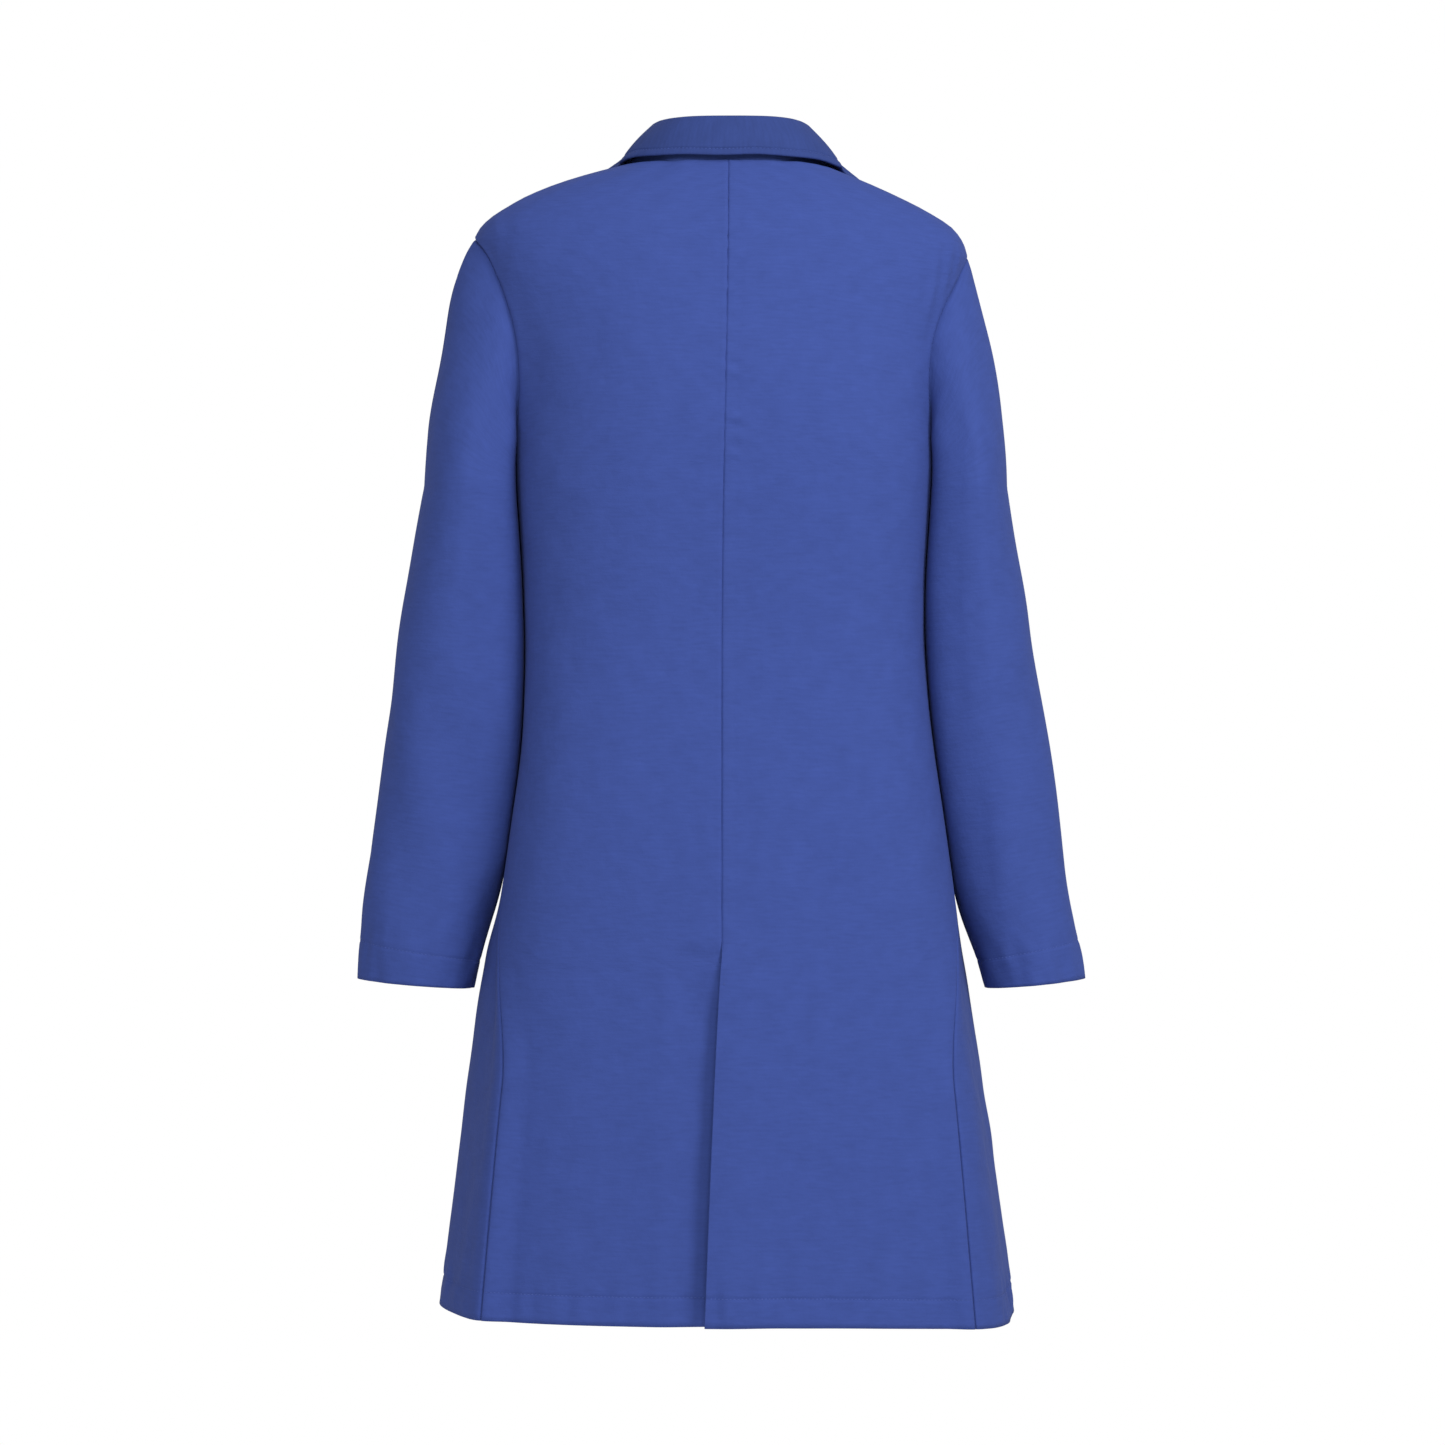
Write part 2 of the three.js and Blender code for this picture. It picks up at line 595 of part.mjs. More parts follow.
// The armhole's edge on the body, a little inside the hole so that the sleeve clears the panels.
function armholePoint(turn, depth) {
  const inset = SLEEVE_CLEARANCE + depth;
  const y = ARMHOLE_CENTRE_Y + (ARMHOLE_HALF_DEPTH - inset) * Math.sin(turn);
  const z = CHEST_HEIGHT + ARMHOLE_HALF_HEIGHT + (ARMHOLE_HALF_HEIGHT - inset) * Math.cos(turn);
  const power = y > 0 ? BACK_SQUARENESS : FRONT_SQUARENESS;
  const half = y > 0 ? backDepth(z) : frontDepth(z);
  const x = halfWidth(z) * (1 - Math.min(1, Math.abs(y) / half) ** power) ** (1 / power);
  return new THREE.Vector3(x, y, z);
}

// The sleeve head, from the armhole's edge (down 0) to the full tube (down 1).
function sleeveHeadPoint(turn, down, depth) {
  const start = armholePoint(turn, depth);
  const end = sleevePoint(turn, SLEEVE_BEND_TOP, depth);
  const reach = start.distanceTo(end);
  const drop = -1 + SLEEVE_HEAD_SLOPE ** 2 / 2;
  const leave = new THREE.Vector3(SLEEVE_HEAD_SLOPE, SLEEVE_HEAD_SPREAD * Math.sin(turn), drop);
  const arrive = sleeveAxis(SLEEVE_BEND_TOP);
  const t = down;
  return start
    .multiplyScalar(2 * t ** 3 - 3 * t ** 2 + 1)
    .addScaledVector(leave.normalize(), reach * (t ** 3 - 2 * t ** 2 + t))
    .addScaledVector(end, 3 * t ** 2 - 2 * t ** 3)
    .addScaledVector(arrive, reach * (t ** 3 - t ** 2));
}

function sleeves() {
  const turns = range(SLEEVE_FACETS).map((i) => (i / SLEEVE_FACETS) * 2 * Math.PI);
  const bendFoot = SLEEVE_BEND_TOP - SLEEVE_BEND_LENGTH;
  const cuff = SLEEVE_STATIONS[SLEEVE_STATIONS.length - 1].z;
  const tube = (from, to, count, side) => {
    const point = (turn, z, d) => mirror(sleevePoint(turn, z, d), side);
    return shellFacingOut(point, turns, steps(from, to, count), CLOTH, true);
  };
  for (const side of [1, -1]) {
    const word = side > 0 ? "left" : "right";
    const head = (turn, down, d) => mirror(sleeveHeadPoint(turn, down, d), side);
    add(`sleeve_${word}_head`, shellFacingOut(head, turns, steps(0, 1, 6), CLOTH, true), cloth);
    add(`sleeve_${word}_bend`, tube(SLEEVE_BEND_TOP - GAP, bendFoot + GAP, 3, side), cloth);
    add(`sleeve_${word}`, tube(bendFoot, cuff, 6, side), cloth);
  }
}

// ---------------------------------------------------------------- pockets

// A patch pocket: its edges lie on the front and its middle stands off, so that the mouth is open.
function pocket(name, side, { inner, outerTop, outerBottom, top, bottom, belly }) {
  const point = (u, v, depth) => {
    const stand = GAP + CLOTH + belly * Math.sin(Math.PI * u) ** 0.7 * Math.sin((Math.PI / 2) * v) ** 0.6;
    const x = lerp(inner, lerp(outerBottom, outerTop, v), u);
    return frontPoint(side, x, lerp(bottom, top, v), depth - stand);
  };
  add(name, shellFacingOut(point, steps(0, 1, 10), steps(0, 1, 6), CLOTH), cloth);
}

// ---------------------------------------------------------------- press studs

// A turned piece: its profile is a list of (radius, height) points from axis to axis.
const turned = (profile) =>
  facingOut(new THREE.LatheGeometry(profile.map(([r, h]) => new THREE.Vector2(r, h)), 12));

const STUD_BED = CLOTH * 2 + LAYER_GAP; // a front and its facing together
const UNDER_FACE = LAP_DROP; // outer face of the under front

const STUD_PIECES = {
  cap: {
    material: enamel,
    at: STUD_SEAT,
    profile: [
      [0, 0],
      [STUD_CAP_RADIUS, 0],
      [STUD_CAP_RADIUS, 0.7],
      [STUD_CAP_RADIUS - 1.2, 1.5],
      [0, 1.9],
    ],
  },
  socket: {
    material: steel,
    at: -STUD_BED - STUD_SEAT,
    profile: [
      [0, 0],
      [STUD_SOCKET_RADIUS, 0],
      [STUD_SOCKET_RADIUS, -STUD_SOCKET_HEIGHT],
      [STUD_CAVITY_RADIUS, -STUD_SOCKET_HEIGHT],
      [STUD_CAVITY_RADIUS, -0.5],
      [0, -0.5],
    ],
  },
  stud: {
    material: steel,
    at: -UNDER_FACE + STUD_SEAT,
    profile: [
      [0, 0],
      [STUD_CAVITY_RADIUS - 0.6, 0],
      [STUD_CAVITY_RADIUS - 0.6, 0.3],
      [STUD_HEAD_RADIUS - 0.4, 0.5],
      [STUD_HEAD_RADIUS, 1.5],
      [STUD_HEAD_RADIUS - 0.6, 2],
      [0, 2],
    ],
  },
  post: {
    material: steel,
    at: -UNDER_FACE - STUD_BED - STUD_SEAT,
    profile: [
      [0, 0],
      [STUD_SOCKET_RADIUS, 0],
      [STUD_SOCKET_RADIUS, -0.5],
      [STUD_SOCKET_RADIUS - 1, -1],
      [0, -1],
    ],
  },
};

function pressStuds() {
  const up = new THREE.Vector3(0, 1, 0);
  for (const i of range(STUD_COUNT)) {
    const z = STUD_FIRST - i * STUD_SPACING;
    const outward = bodyNormal(-Math.PI / 2, z);
    for (const [piece, { material, at, profile }] of Object.entries(STUD_PIECES)) {
      const mesh = add(`snap_${piece}_${i + 1}`, turned(profile), material);
      mesh.quaternion.setFromUnitVectors(up, outward);
      mesh.position.copy(bodyPoint(-Math.PI / 2, z, at));
    }
  }
}

// ---------------------------------------------------------------- inside the neck

function neckFittings() {
  const left = steps(NECK_FACING_START, 1, 5).map((u) => [1, u]);
  const right = [...left].reverse().map(([, u]) => [-1, u]);
  const rows = BODY_ROWS.filter((z) => z >= -NECK_FACING_HEIGHT);
  const facing = ([side, u], z, d) => backPoint(side, u, z, CLOTH + 2 * LAYER_GAP + d);
  add("back_neck_facing", shellFacingOut(facing, [...left, ...right], rows, CLOTH), lining);

  const labelDepth = CLOTH * 2 + LAYER_GAP * 4;
  const labelPoint = (x, z, d) => bodyPoint(angleAt(x, z, true), z, -labelDepth - d);
  const labelColumns = steps(-LABEL.halfWidth, LABEL.halfWidth, 4);
  const labelRows = steps(LABEL.top, LABEL.bottom, 2);
  add("neck_label", shellFacingOut(labelPoint, labelColumns, labelRows, LABEL.thickness), labelCloth);

  add("hanger_loop", hangerLoop(), tape);
}

// A band of tape sewn at both ends and hanging in a shallow curve.
function hangerLoop() {
  const face = backDepth(LOOP.top) - CLOTH * 2 - GAP * 2 - LOOP.thickness;
  const point = (u, v, d) => {
    const x = lerp(-LOOP.halfWidth, LOOP.halfWidth, u);
    const sag = LOOP.drop * (1 - (2 * u - 1) ** 4);
    const behind = onBody(angleAt(x, LOOP.top, true), LOOP.top).y - backDepth(LOOP.top);
    return new THREE.Vector3(x, face + behind * 1.1 - d, LOOP.top - sag * 0.6 - v * LOOP.band);
  };
  return shellFacingOut(point, steps(0, 1, 12), [0, 1], LOOP.thickness);
}

backPanels();
frontPanels();
lapels();
collar();
sleeves();
pocket("chest_pocket", 1, CHEST_POCKET);
pocket("pocket_left", 1, POCKET);
pocket("pocket_right", -1, POCKET);
pressStuds();
neckFittings();

export default coat;
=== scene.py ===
"""The looks of a knee-length lab coat, seen from behind, filled out as if worn.

Points are worked out in millimetres in the CAD frame (+Z up, front towards -Y, wearer's left +X)
and turned into metres when a mesh is made.
"""

import math

import bpy
import numpy as np
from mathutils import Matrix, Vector


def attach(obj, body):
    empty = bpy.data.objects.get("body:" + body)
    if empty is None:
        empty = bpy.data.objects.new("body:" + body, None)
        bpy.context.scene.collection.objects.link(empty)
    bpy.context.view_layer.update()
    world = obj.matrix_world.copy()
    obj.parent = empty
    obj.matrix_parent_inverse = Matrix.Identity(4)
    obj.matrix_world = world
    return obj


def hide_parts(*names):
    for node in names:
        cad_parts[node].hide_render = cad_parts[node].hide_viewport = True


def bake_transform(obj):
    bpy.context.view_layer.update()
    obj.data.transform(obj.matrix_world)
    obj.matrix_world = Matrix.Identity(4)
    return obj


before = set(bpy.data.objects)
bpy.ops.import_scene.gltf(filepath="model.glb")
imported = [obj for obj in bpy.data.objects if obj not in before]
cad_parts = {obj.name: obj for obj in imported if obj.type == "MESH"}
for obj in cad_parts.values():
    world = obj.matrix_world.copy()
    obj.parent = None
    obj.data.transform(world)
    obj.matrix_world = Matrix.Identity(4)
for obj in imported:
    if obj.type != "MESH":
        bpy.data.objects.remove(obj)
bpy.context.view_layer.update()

# -------- sizes, in millimetres

BACK_LENGTH = 975
NECK_HALF_WIDTH = 92
SHOULDER_HALF_WIDTH = 212
CHEST_HALF_WIDTH = 173
WAIST_HALF_WIDTH = 167
HEM_HALF_WIDTH = 243
SHOULDER_DROP = 68
CHEST_HEIGHT = -262
WAIST_HEIGHT = -405
HIP_HEIGHT = -573
HIP_HALF_WIDTH = 187
NECK_BACK_DEPTH = 58
CHEST_BACK_DEPTH = 114
WAIST_BACK_DEPTH = 107
HEM_BACK_DEPTH = 143
CHEST_FRONT_DEPTH = 119
WAIST_FRONT_DEPTH = 123
HEM_FRONT_DEPTH = 146
BACK_SQUARENESS = 2.35
FRONT_SQUARENESS = 2.7
# Below the shoulders the hanging back is fuller at its sides than the even CAD shape.
SIDE_FULLNESS = 0.65
SKIRT_FULLNESS = 0.7
SEAM_RATIO_CHEST = 0.93
SEAM_RATIO_HEM = 0.85

CLOTH = 0.6
HEM_DEPTH = 25
CUFF_HEM = 28
VENT_TOP = -672
VENT_UNDERLAP = 40
VENT_OVERLAP = 14

LAP_HALF = 20
LAP_DROP = 7
LAP_BLEND = 40
BREAK_HEIGHT = -285
ROLL_TOP_HEIGHT = -30
ROLL_TOP_HALF_WIDTH = 60
FACING_WIDTH = 55
FACING_TOP = -60

ARMHOLE_HALF_DEPTH = 54
ARMHOLE_HALF_HEIGHT = 99
ARMHOLE_CENTRE_Y = -3
ARMHOLE_CENTRE_Z = CHEST_HEIGHT + ARMHOLE_HALF_HEIGHT
SLEEVE_Y = -4
SLEEVE_HEAD_SLOPE = 0.42
SLEEVE_HEAD_SPREAD = 0.35
SLEEVE_TOP = -275
CUFF_HEIGHT = -700

# Each folding corner: its apex and its foot at the hem, in the XZ plane.
VENT_OVER_FOLD = ((0, VENT_TOP), (-110, -BACK_LENGTH))
VENT_UNDER_FOLD = ((-40, -786), (90, -BACK_LENGTH))
FRONT_OVER_FOLD = ((LAP_HALF, -325), (-150, -BACK_LENGTH))
FRONT_UNDER_FOLD = ((-LAP_HALF, -488), (150, -BACK_LENGTH))

# -------- curves


def clamp01(t):
    return np.clip(t, 0.0, 1.0)


def smooth(t):
    t = clamp01(t)
    return t * t * (3 - 2 * t)


def lerp(a, b, t):
    return a + (b - a) * t


def bump(x, width):
    """A soft ridge of height 1 at x = 0."""
    return np.exp(-((x / width) ** 2))


def hermite(a, slope_a, b, slope_b, t):
    """A smooth way from a to b as t goes from 0 to 1, with a slope given for each end."""
    return (
        a * (2 * t**3 - 3 * t**2 + 1)
        + slope_a * (t**3 - 2 * t**2 + t)
        + b * (3 * t**2 - 2 * t**3)
        + slope_b * (t**3 - t**2)
    )


def through(pairs):
    """A smooth curve through (key, value) pairs whose keys fall."""
    keys = np.array([k for k, _ in pairs], float)
    values = np.array([v for _, v in pairs], float)
    slopes = np.empty(len(keys))
    slopes[1:-1] = (values[2:] - values[:-2]) / (keys[2:] - keys[:-2])
    slopes[0] = (values[1] - values[0]) / (keys[1] - keys[0])
    slopes[-1] = (values[-1] - values[-2]) / (keys[-1] - keys[-2])

    def value(key):
        key = np.clip(np.asarray(key, float), keys[-1], keys[0])
        i = np.clip(np.searchsorted(-keys, -key, side="right") - 1, 0, len(keys) - 2)
        span = keys[i + 1] - keys[i]
        t = (key - keys[i]) / span
        return hermite(values[i], slopes[i] * span, values[i + 1], slopes[i + 1] * span, t)

    return value


def spline(points):
    """A smooth curve through points in space, asked for by a share from 0 to 1."""
    pts = np.array(points, float)
    ends = np.vstack([2 * pts[0] - pts[1], pts, 2 * pts[-1] - pts[-2]])

    def value(share):
        share = np.asarray(share, float)
        place = clamp01(share) * (len(pts) - 1)
        i = np.minimum(place.astype(int), len(pts) - 2)
        t = (place - i)[..., None]
        a, b, c, d = (ends[i + k] for k in range(4))
        square = (2 * a - 5 * b + 4 * c - d) * t**2
        cube = (3 * b - a - 3 * c + d) * t**3
        return 0.5 * (2 * b + (c - a) * t + square + cube)

    return value


def ripple(x, z, wavelength, seed):
    """An even, random waviness of about unit height, with waves in every direction."""
    rng = np.random.default_rng(seed)
    total = 0
    waves = 9
    for _ in range(waves):
        turn, phase = rng.uniform(0, 2 * math.pi, 2)
        k = 2 * math.pi / (wavelength * rng.uniform(0.7, 1.5))
        total = total + np.sin(k * (x * math.cos(turn) + z * math.sin(turn)) + phase)
    return total * math.sqrt(2 / waves)


# -------- the body's surface

body_width = through(
    [
        (-SHOULDER_DROP, SHOULDER_HALF_WIDTH),
        (-SHOULDER_DROP - 45, lerp(SHOULDER_HALF_WIDTH, CHEST_HALF_WIDTH, 0.42)),
        (CHEST_HEIGHT + 70, lerp(SHOULDER_HALF_WIDTH, CHEST_HALF_WIDTH, 0.9)),
        (CHEST_HEIGHT, CHEST_HALF_WIDTH),
        (WAIST_HEIGHT, WAIST_HALF_WIDTH),
        (HIP_HEIGHT, HIP_HALF_WIDTH),
        (lerp(HIP_HEIGHT, -BACK_LENGTH, 0.5), lerp(HIP_HALF_WIDTH, HEM_HALF_WIDTH, 0.53)),
        (-BACK_LENGTH, HEM_HALF_WIDTH),
    ]
)
back_depth = through(
    [
        (0, NECK_BACK_DEPTH),
        (-SHOULDER_DROP, lerp(NECK_BACK_DEPTH, CHEST_BACK_DEPTH, 0.52)),
        (CHEST_HEIGHT + 100, CHEST_BACK_DEPTH - 4),
        (CHEST_HEIGHT + 30, CHEST_BACK_DEPTH),
        (WAIST_HEIGHT, WAIST_BACK_DEPTH),
        (HIP_HEIGHT, lerp(WAIST_BACK_DEPTH, HEM_BACK_DEPTH, 0.33)),
        (-BACK_LENGTH, HEM_BACK_DEPTH),
    ]
)
front_depth = through(
    [
        (0, CHEST_FRONT_DEPTH * 0.29),
        (-45, CHEST_FRONT_DEPTH * 0.56),
        (-110, CHEST_FRONT_DEPTH * 0.84),
        (-180, CHEST_FRONT_DEPTH * 0.98),
        (WAIST_HEIGHT, WAIST_FRONT_DEPTH),
        (HIP_HEIGHT, lerp(WAIST_FRONT_DEPTH, HEM_FRONT_DEPTH, 0.28)),
        (-BACK_LENGTH, HEM_FRONT_DEPTH),
    ]
)


def half_width(z):
    left = 1 + z / SHOULDER_DROP
    above = lerp(NECK_HALF_WIDTH, SHOULDER_HALF_WIDTH, 1 - left * left)
    return np.where(z <= -SHOULDER_DROP, body_width(z), above)


def squareness(back, z):
    """How square the coat's cross-section is, at its back or its front."""
    fuller = SIDE_FULLNESS * smooth((-130 - z) / 150) + SKIRT_FULLNESS * smooth((-640 - z) / 250)
    return np.where(back, BACK_SQUARENESS + fuller, FRONT_SQUARENESS)


def coat_depth(back, z):
    return np.where(back, back_depth(z), front_depth(z))


def rounded(share, power):
    """How wide a cross-section is at a share of its depth, or how deep at a share of its width."""
    return (1 - share**power) ** (1 / power)


def coat_side(y, z):
    """How far the coat's side lies from its middle plane."""
    share = np.minimum(1, np.abs(y) / coat_depth(y > 0, z))
    return half_width(z) * rounded(share, squareness(y > 0, z))


def on_body(angle, z):
    """Angle 0 is the wearer's left side, 90 degrees the centre back."""
    angle, z = np.broadcast_arrays(np.asarray(angle, float), np.asarray(z, float))
    c, s = np.cos(angle), np.sin(angle)
    back = s >= 0
    power = squareness(back, z)
    reach = (np.abs(c) ** power + np.abs(s) ** power) ** (-1 / power)
    return np.stack([half_width(z) * reach * c, coat_depth(back, z) * reach * s, z], axis=-1)


def unit(v):
    return v / np.maximum(np.linalg.norm(v, axis=-1, keepdims=True), 1e-9)


def body_normal(angle, z):
    along = on_body(angle + 0.01, z) - on_body(angle - 0.01, z)
    up = on_body(angle, np.minimum(z + 1.0, 0)) - on_body(angle, z - 1.0)
    return unit(np.cross(along, up))


def body_point(angle, z, offset):
    return on_body(angle, z) + body_normal(angle, z) * np.asarray(offset, float)[..., None]


def angle_at_share(share, z, back):
    share = np.clip(share, -1, 1)
    depth = rounded(np.abs(share), squareness(back, z))
    return (1 if back else -1) * np.arctan2(depth, share)


def angle_at(x, z, back):
    return angle_at_share(x / half_width(z), z, back)


def seam_angle(z):
    below = clamp01((CHEST_HEIGHT - z) / (BACK_LENGTH + CHEST_HEIGHT))
    angle = angle_at_share(lerp(SEAM_RATIO_CHEST, SEAM_RATIO_HEM, below), z, True)
    return angle * smooth((-480 - z) / 300)


def armhole_angle(z, back):
    """The angle at which a row at height z meets the armhole's back or front edge."""
    up = clamp01(1 - ((z - ARMHOLE_CENTRE_Z) / ARMHOLE_HALF_HEIGHT) ** 2)
    y = ARMHOLE_CENTRE_Y + (1 if back else -1) * ARMHOLE_HALF_DEPTH * np.sqrt(up)
    share = np.abs(y) / coat_depth(y > 0, z)
    return np.arctan2(np.sign(y) * share, rounded(share, squareness(y > 0, z)))


def panel_start(z, back):
    """Where a panel begins at height z: the shoulder seam, the armhole or the side seam."""
    seam = seam_angle(z)
    inside = np.abs(z - ARMHOLE_CENTRE_Z) < ARMHOLE_HALF_HEIGHT
    hole = armhole_angle(z, back)
    edge = np.maximum(seam, hole) if back else np.minimum(seam, hole)
    return np.where(inside, edge, seam)


# -------- meshes


def grid_normals(points, centre):
    """Unit normals of a grid of points, pointing away from centre."""
    along = np.gradient(points, axis=1)
    down = np.gradient(points, axis=0)
    normals = unit(np.cross(along, down))
    facing = np.sum(normals * (points - centre))
    return normals if facing >= 0 else -normals


def grid_steps(points):
    """The lengths of a grid's steps along its rows and down its columns."""
    return [np.linalg.norm(np.diff(points, axis=axis), axis=2) for axis in (1, 0)]


def flat_lengths(points):
    """How far each grid point lies along its row and its column, in metres, for the weave."""
    across, down = grid_steps(points)
    u = np.hstack([np.zeros((len(points), 1)), np.cumsum(across, axis=1)])
    down = np.repeat(down.mean(axis=1, keepdims=True), points.shape[1], axis=1)
    v = np.vstack([np.zeros((1, points.shape[1])), np.cumsum(down, axis=0)])
    return np.stack([u - u[:, -1:] / 2, v], axis=-1) / 1000


def make_mesh(name, vertices, faces, material, flat_from=None, uv=None):
    mesh = bpy.data.meshes.new(name)
    mesh.from_pydata((np.asarray(vertices) / 1000).tolist(), [], faces)
    mesh.polygons.foreach_set("use_smooth", [flat_from is None or i < flat_from for i in range(len(faces))])
    if uv is not None:
        layer = mesh.uv_layers.new(name="weave")
        corners = np.empty(len(mesh.loops), int)
        mesh.loops.foreach_get("vertex_index", corners)
        layer.data.foreach_set("uv", uv[corners].astype(np.float32).ravel())
    mesh.materials.append(material)
    mesh.update()
    obj = bpy.data.objects.new(name, mesh)
    bpy.context.scene.collection.objects.link(obj)
    return obj


def cloth(name, points, centre, material, thickness=CLOTH, wraps=False):
    """A sheet of cloth: a closed skin of the given thickness under a grid of points."""
    rows, cols = points.shape[:2]
    if wraps:
        padded = np.concatenate([points[:, -1:], points, points[:, :1]], axis=1)
        normals = grid_normals(padded, centre)[:, 1:-1]
    else:
        normals = grid_normals(points, centre)
    inner = points - normals * thickness
    count = rows * cols
    at = np.arange(count).reshape(rows, cols)
    right = np.roll(at, -1, axis=1) if wraps else at[:, 1:]
    left = at if wraps else at[:, :-1]
    a, b, c, d = left[:-1], left[1:], right[1:], right[:-1]
    outer_faces = np.stack([a, b, c, d], axis=-1).reshape(-1, 4)
    inner_faces = outer_faces[:, ::-1] + count
    rims = []
    for edge_a, edge_b in ((right[0], left[0]), (left[-1], right[-1])):
        rims.append(np.stack([edge_a, edge_b, edge_b + count, edge_a + count], axis=-1))
    if not wraps:
        for edge_a, edge_b in ((at[:-1, 0], at[1:, 0]), (at[1:, -1], at[:-1, -1])):
            rims.append(np.stack([edge_a, edge_b, edge_b + count, edge_a + count], axis=-1)[:, ::-1])
    rim_faces = np.concatenate(rims)
    faces = np.concatenate([outer_faces, inner_faces, rim_faces])
    first = points[1:, :-1] - points[:-1, :-1]
    second = points[1:, 1:] - points[1:, :-1]
    if np.sum(np.cross(first, second) * normals[:-1, : cols - 1]) < 0:
        faces = faces[:, ::-1]
    uv = np.tile(flat_lengths(points).reshape(-1, 2), (2, 1))
    vertices = np.concatenate([points.reshape(-1, 3), inner.reshape(-1, 3)])
    return make_mesh(name, vertices, faces.tolist(), material, len(outer_faces) * 2, uv)


STITCH_PITCH = 3.3
STITCH_LENGTH = 2.5
STITCH_RADIUS = 0.26


def stitches(name, rows, material):
    """Sewing thread: rows is a list of (points, outward normals) along each line of stitches."""
    vertices, faces = [], []
    for line, normals in rows:
        steps = np.linalg.norm(np.diff(line, axis=0), axis=1)
        length = np.concatenate([[0], np.cumsum(steps)])
        places = np.arange(STITCH_PITCH, length[-1] - STITCH_PITCH / 2, STITCH_PITCH)
        for place in places:
            i = min(np.searchsorted(length, place) - 1, len(line) - 2)
            t = (place - length[i]) / max(steps[i], 1e-9)
            centre = lerp(line[i], line[i + 1], t)
            along = unit(line[i + 1] - line[i])
            out = unit(lerp(normals[i], normals[i + 1], t))
            side = np.cross(along, out)
            base = len(vertices)
            raised = centre + out * 0.12
            vertices += [
                centre - along * STITCH_LENGTH / 2,
                raised + out * STITCH_RADIUS,
                raised + side * STITCH_RADIUS,
                raised - out * STITCH_RADIUS,
                raised - side * STITCH_RADIUS,
                centre + along * STITCH_LENGTH / 2,
            ]
            for k in range(4):
                n = k % 4 + 1
                m = (k + 1) % 4 + 1
                faces += [[base, base + m, base + n], [base + 5, base + n, base + m]]
    return make_mesh(name, vertices, faces, material)


# -------- materials


def node_material(name):
    material = bpy.data.materials.new(name)
    material.use_nodes = True
    tree = material.node_tree
    return material, tree.nodes, tree.links, tree.nodes["Principled BSDF"]


def add_node(nodes, kind, **values):
    """Adds a node and sets its inputs, given by name with _ for a space."""
    node = nodes.new("ShaderNode" + kind)
    for name, value in values.items():
        node.inputs[name.replace("_", " ")].default_value = value
    return node


def math_node(nodes, links, operation, first, second=None):
    """A calculation on an output, with a number or another output as its second value."""
    node = nodes.new("ShaderNodeMath")
    node.operation = operation
    links.new(first, node.inputs[0])
    if isinstance(second, float):
        node.inputs[1].default_value = second
    elif second is not None:
        links.new(second, node.inputs[1])
    return node


SPECULAR = 0.18
SLUB_STRETCH = 0.14  # slubs are this much finer across the weft than along it
SLUB_SCALE = 420
BROAD_SCALE = 55


def woven(name, color, thread_mm, roughness, sheen, weave_height=0.06, mottle=0.1):
    """Plain-woven cloth: fine crossing threads as relief, with slight unevenness of shade."""
    material, nodes, links, shader = node_material(name)
    shader.inputs["Roughness"].default_value = roughness
    shader.inputs["Specular IOR Level"].default_value = SPECULAR
    shader.inputs["Sheen Weight"].default_value = sheen
    shader.inputs["Sheen Roughness"].default_value = 0.5
    shader.inputs["Sheen Tint"].default_value = (*[min(1, c * 3 + 0.25) for c in color], 1)

    uv = nodes.new("ShaderNodeUVMap")
    uv.uv_map = "weave"
    split = nodes.new("ShaderNodeSeparateXYZ")
    links.new(uv.outputs["UV"], split.inputs[0])
    density = 2 * math.pi * 1000 / (2 * thread_mm)
    waves = []
    for axis in ("X", "Y"):
        scaled = math_node(nodes, links, "MULTIPLY", split.outputs[axis], density)
        waves.append(math_node(nodes, links, "SINE", scaled.outputs[0]))
    crossing = math_node(nodes, links, "MULTIPLY", waves[0].outputs[0], waves[1].outputs[0])

    along_weft = add_node(nodes, "Mapping", Scale=(SLUB_STRETCH, 1, 1))
    links.new(uv.outputs["UV"], along_weft.inputs["Vector"])
    slub = add_node(nodes, "TexNoise", Scale=SLUB_SCALE, Detail=4)
    links.new(along_weft.outputs["Vector"], slub.inputs["Vector"])
    broad = add_node(nodes, "TexNoise", Scale=BROAD_SCALE, Detail=7, Roughness=0.6)
    links.new(uv.outputs["UV"], broad.inputs["Vector"])

    reliefs = [
        (crossing.outputs[0], 0.12, weave_height / 1000),
        (slub.outputs["Fac"], 0.5, 0.0004),
        (broad.outputs["Fac"], 0.35, 0.003),
    ]
    normal = None
    for height, strength, distance in reliefs:
        relief = add_node(nodes, "Bump", Strength=strength, Distance=distance)
        links.new(height, relief.inputs["Height"])
        if normal is not None:
            links.new(normal, relief.inputs["Normal"])
        normal = relief.outputs["Normal"]
    links.new(normal, shader.inputs["Normal"])

    shades = nodes.new("ShaderNodeMixRGB")
    shades.inputs[1].default_value = (*[c * (1 - mottle) for c in color], 1)
    shades.inputs[2].default_value = (*[c * (1 + mottle) for c in color], 1)
    both = math_node(nodes, links, "MULTIPLY_ADD", slub.outputs["Fac"], 0.5)
    half = math_node(nodes, links, "MULTIPLY", broad.outputs["Fac"], 0.5)
    links.new(half.outputs[0], both.inputs[2])
    links.new(both.outputs[0], shades.inputs[0])
    links.new(shades.outputs[0], shader.inputs["Base Color"])
    return material


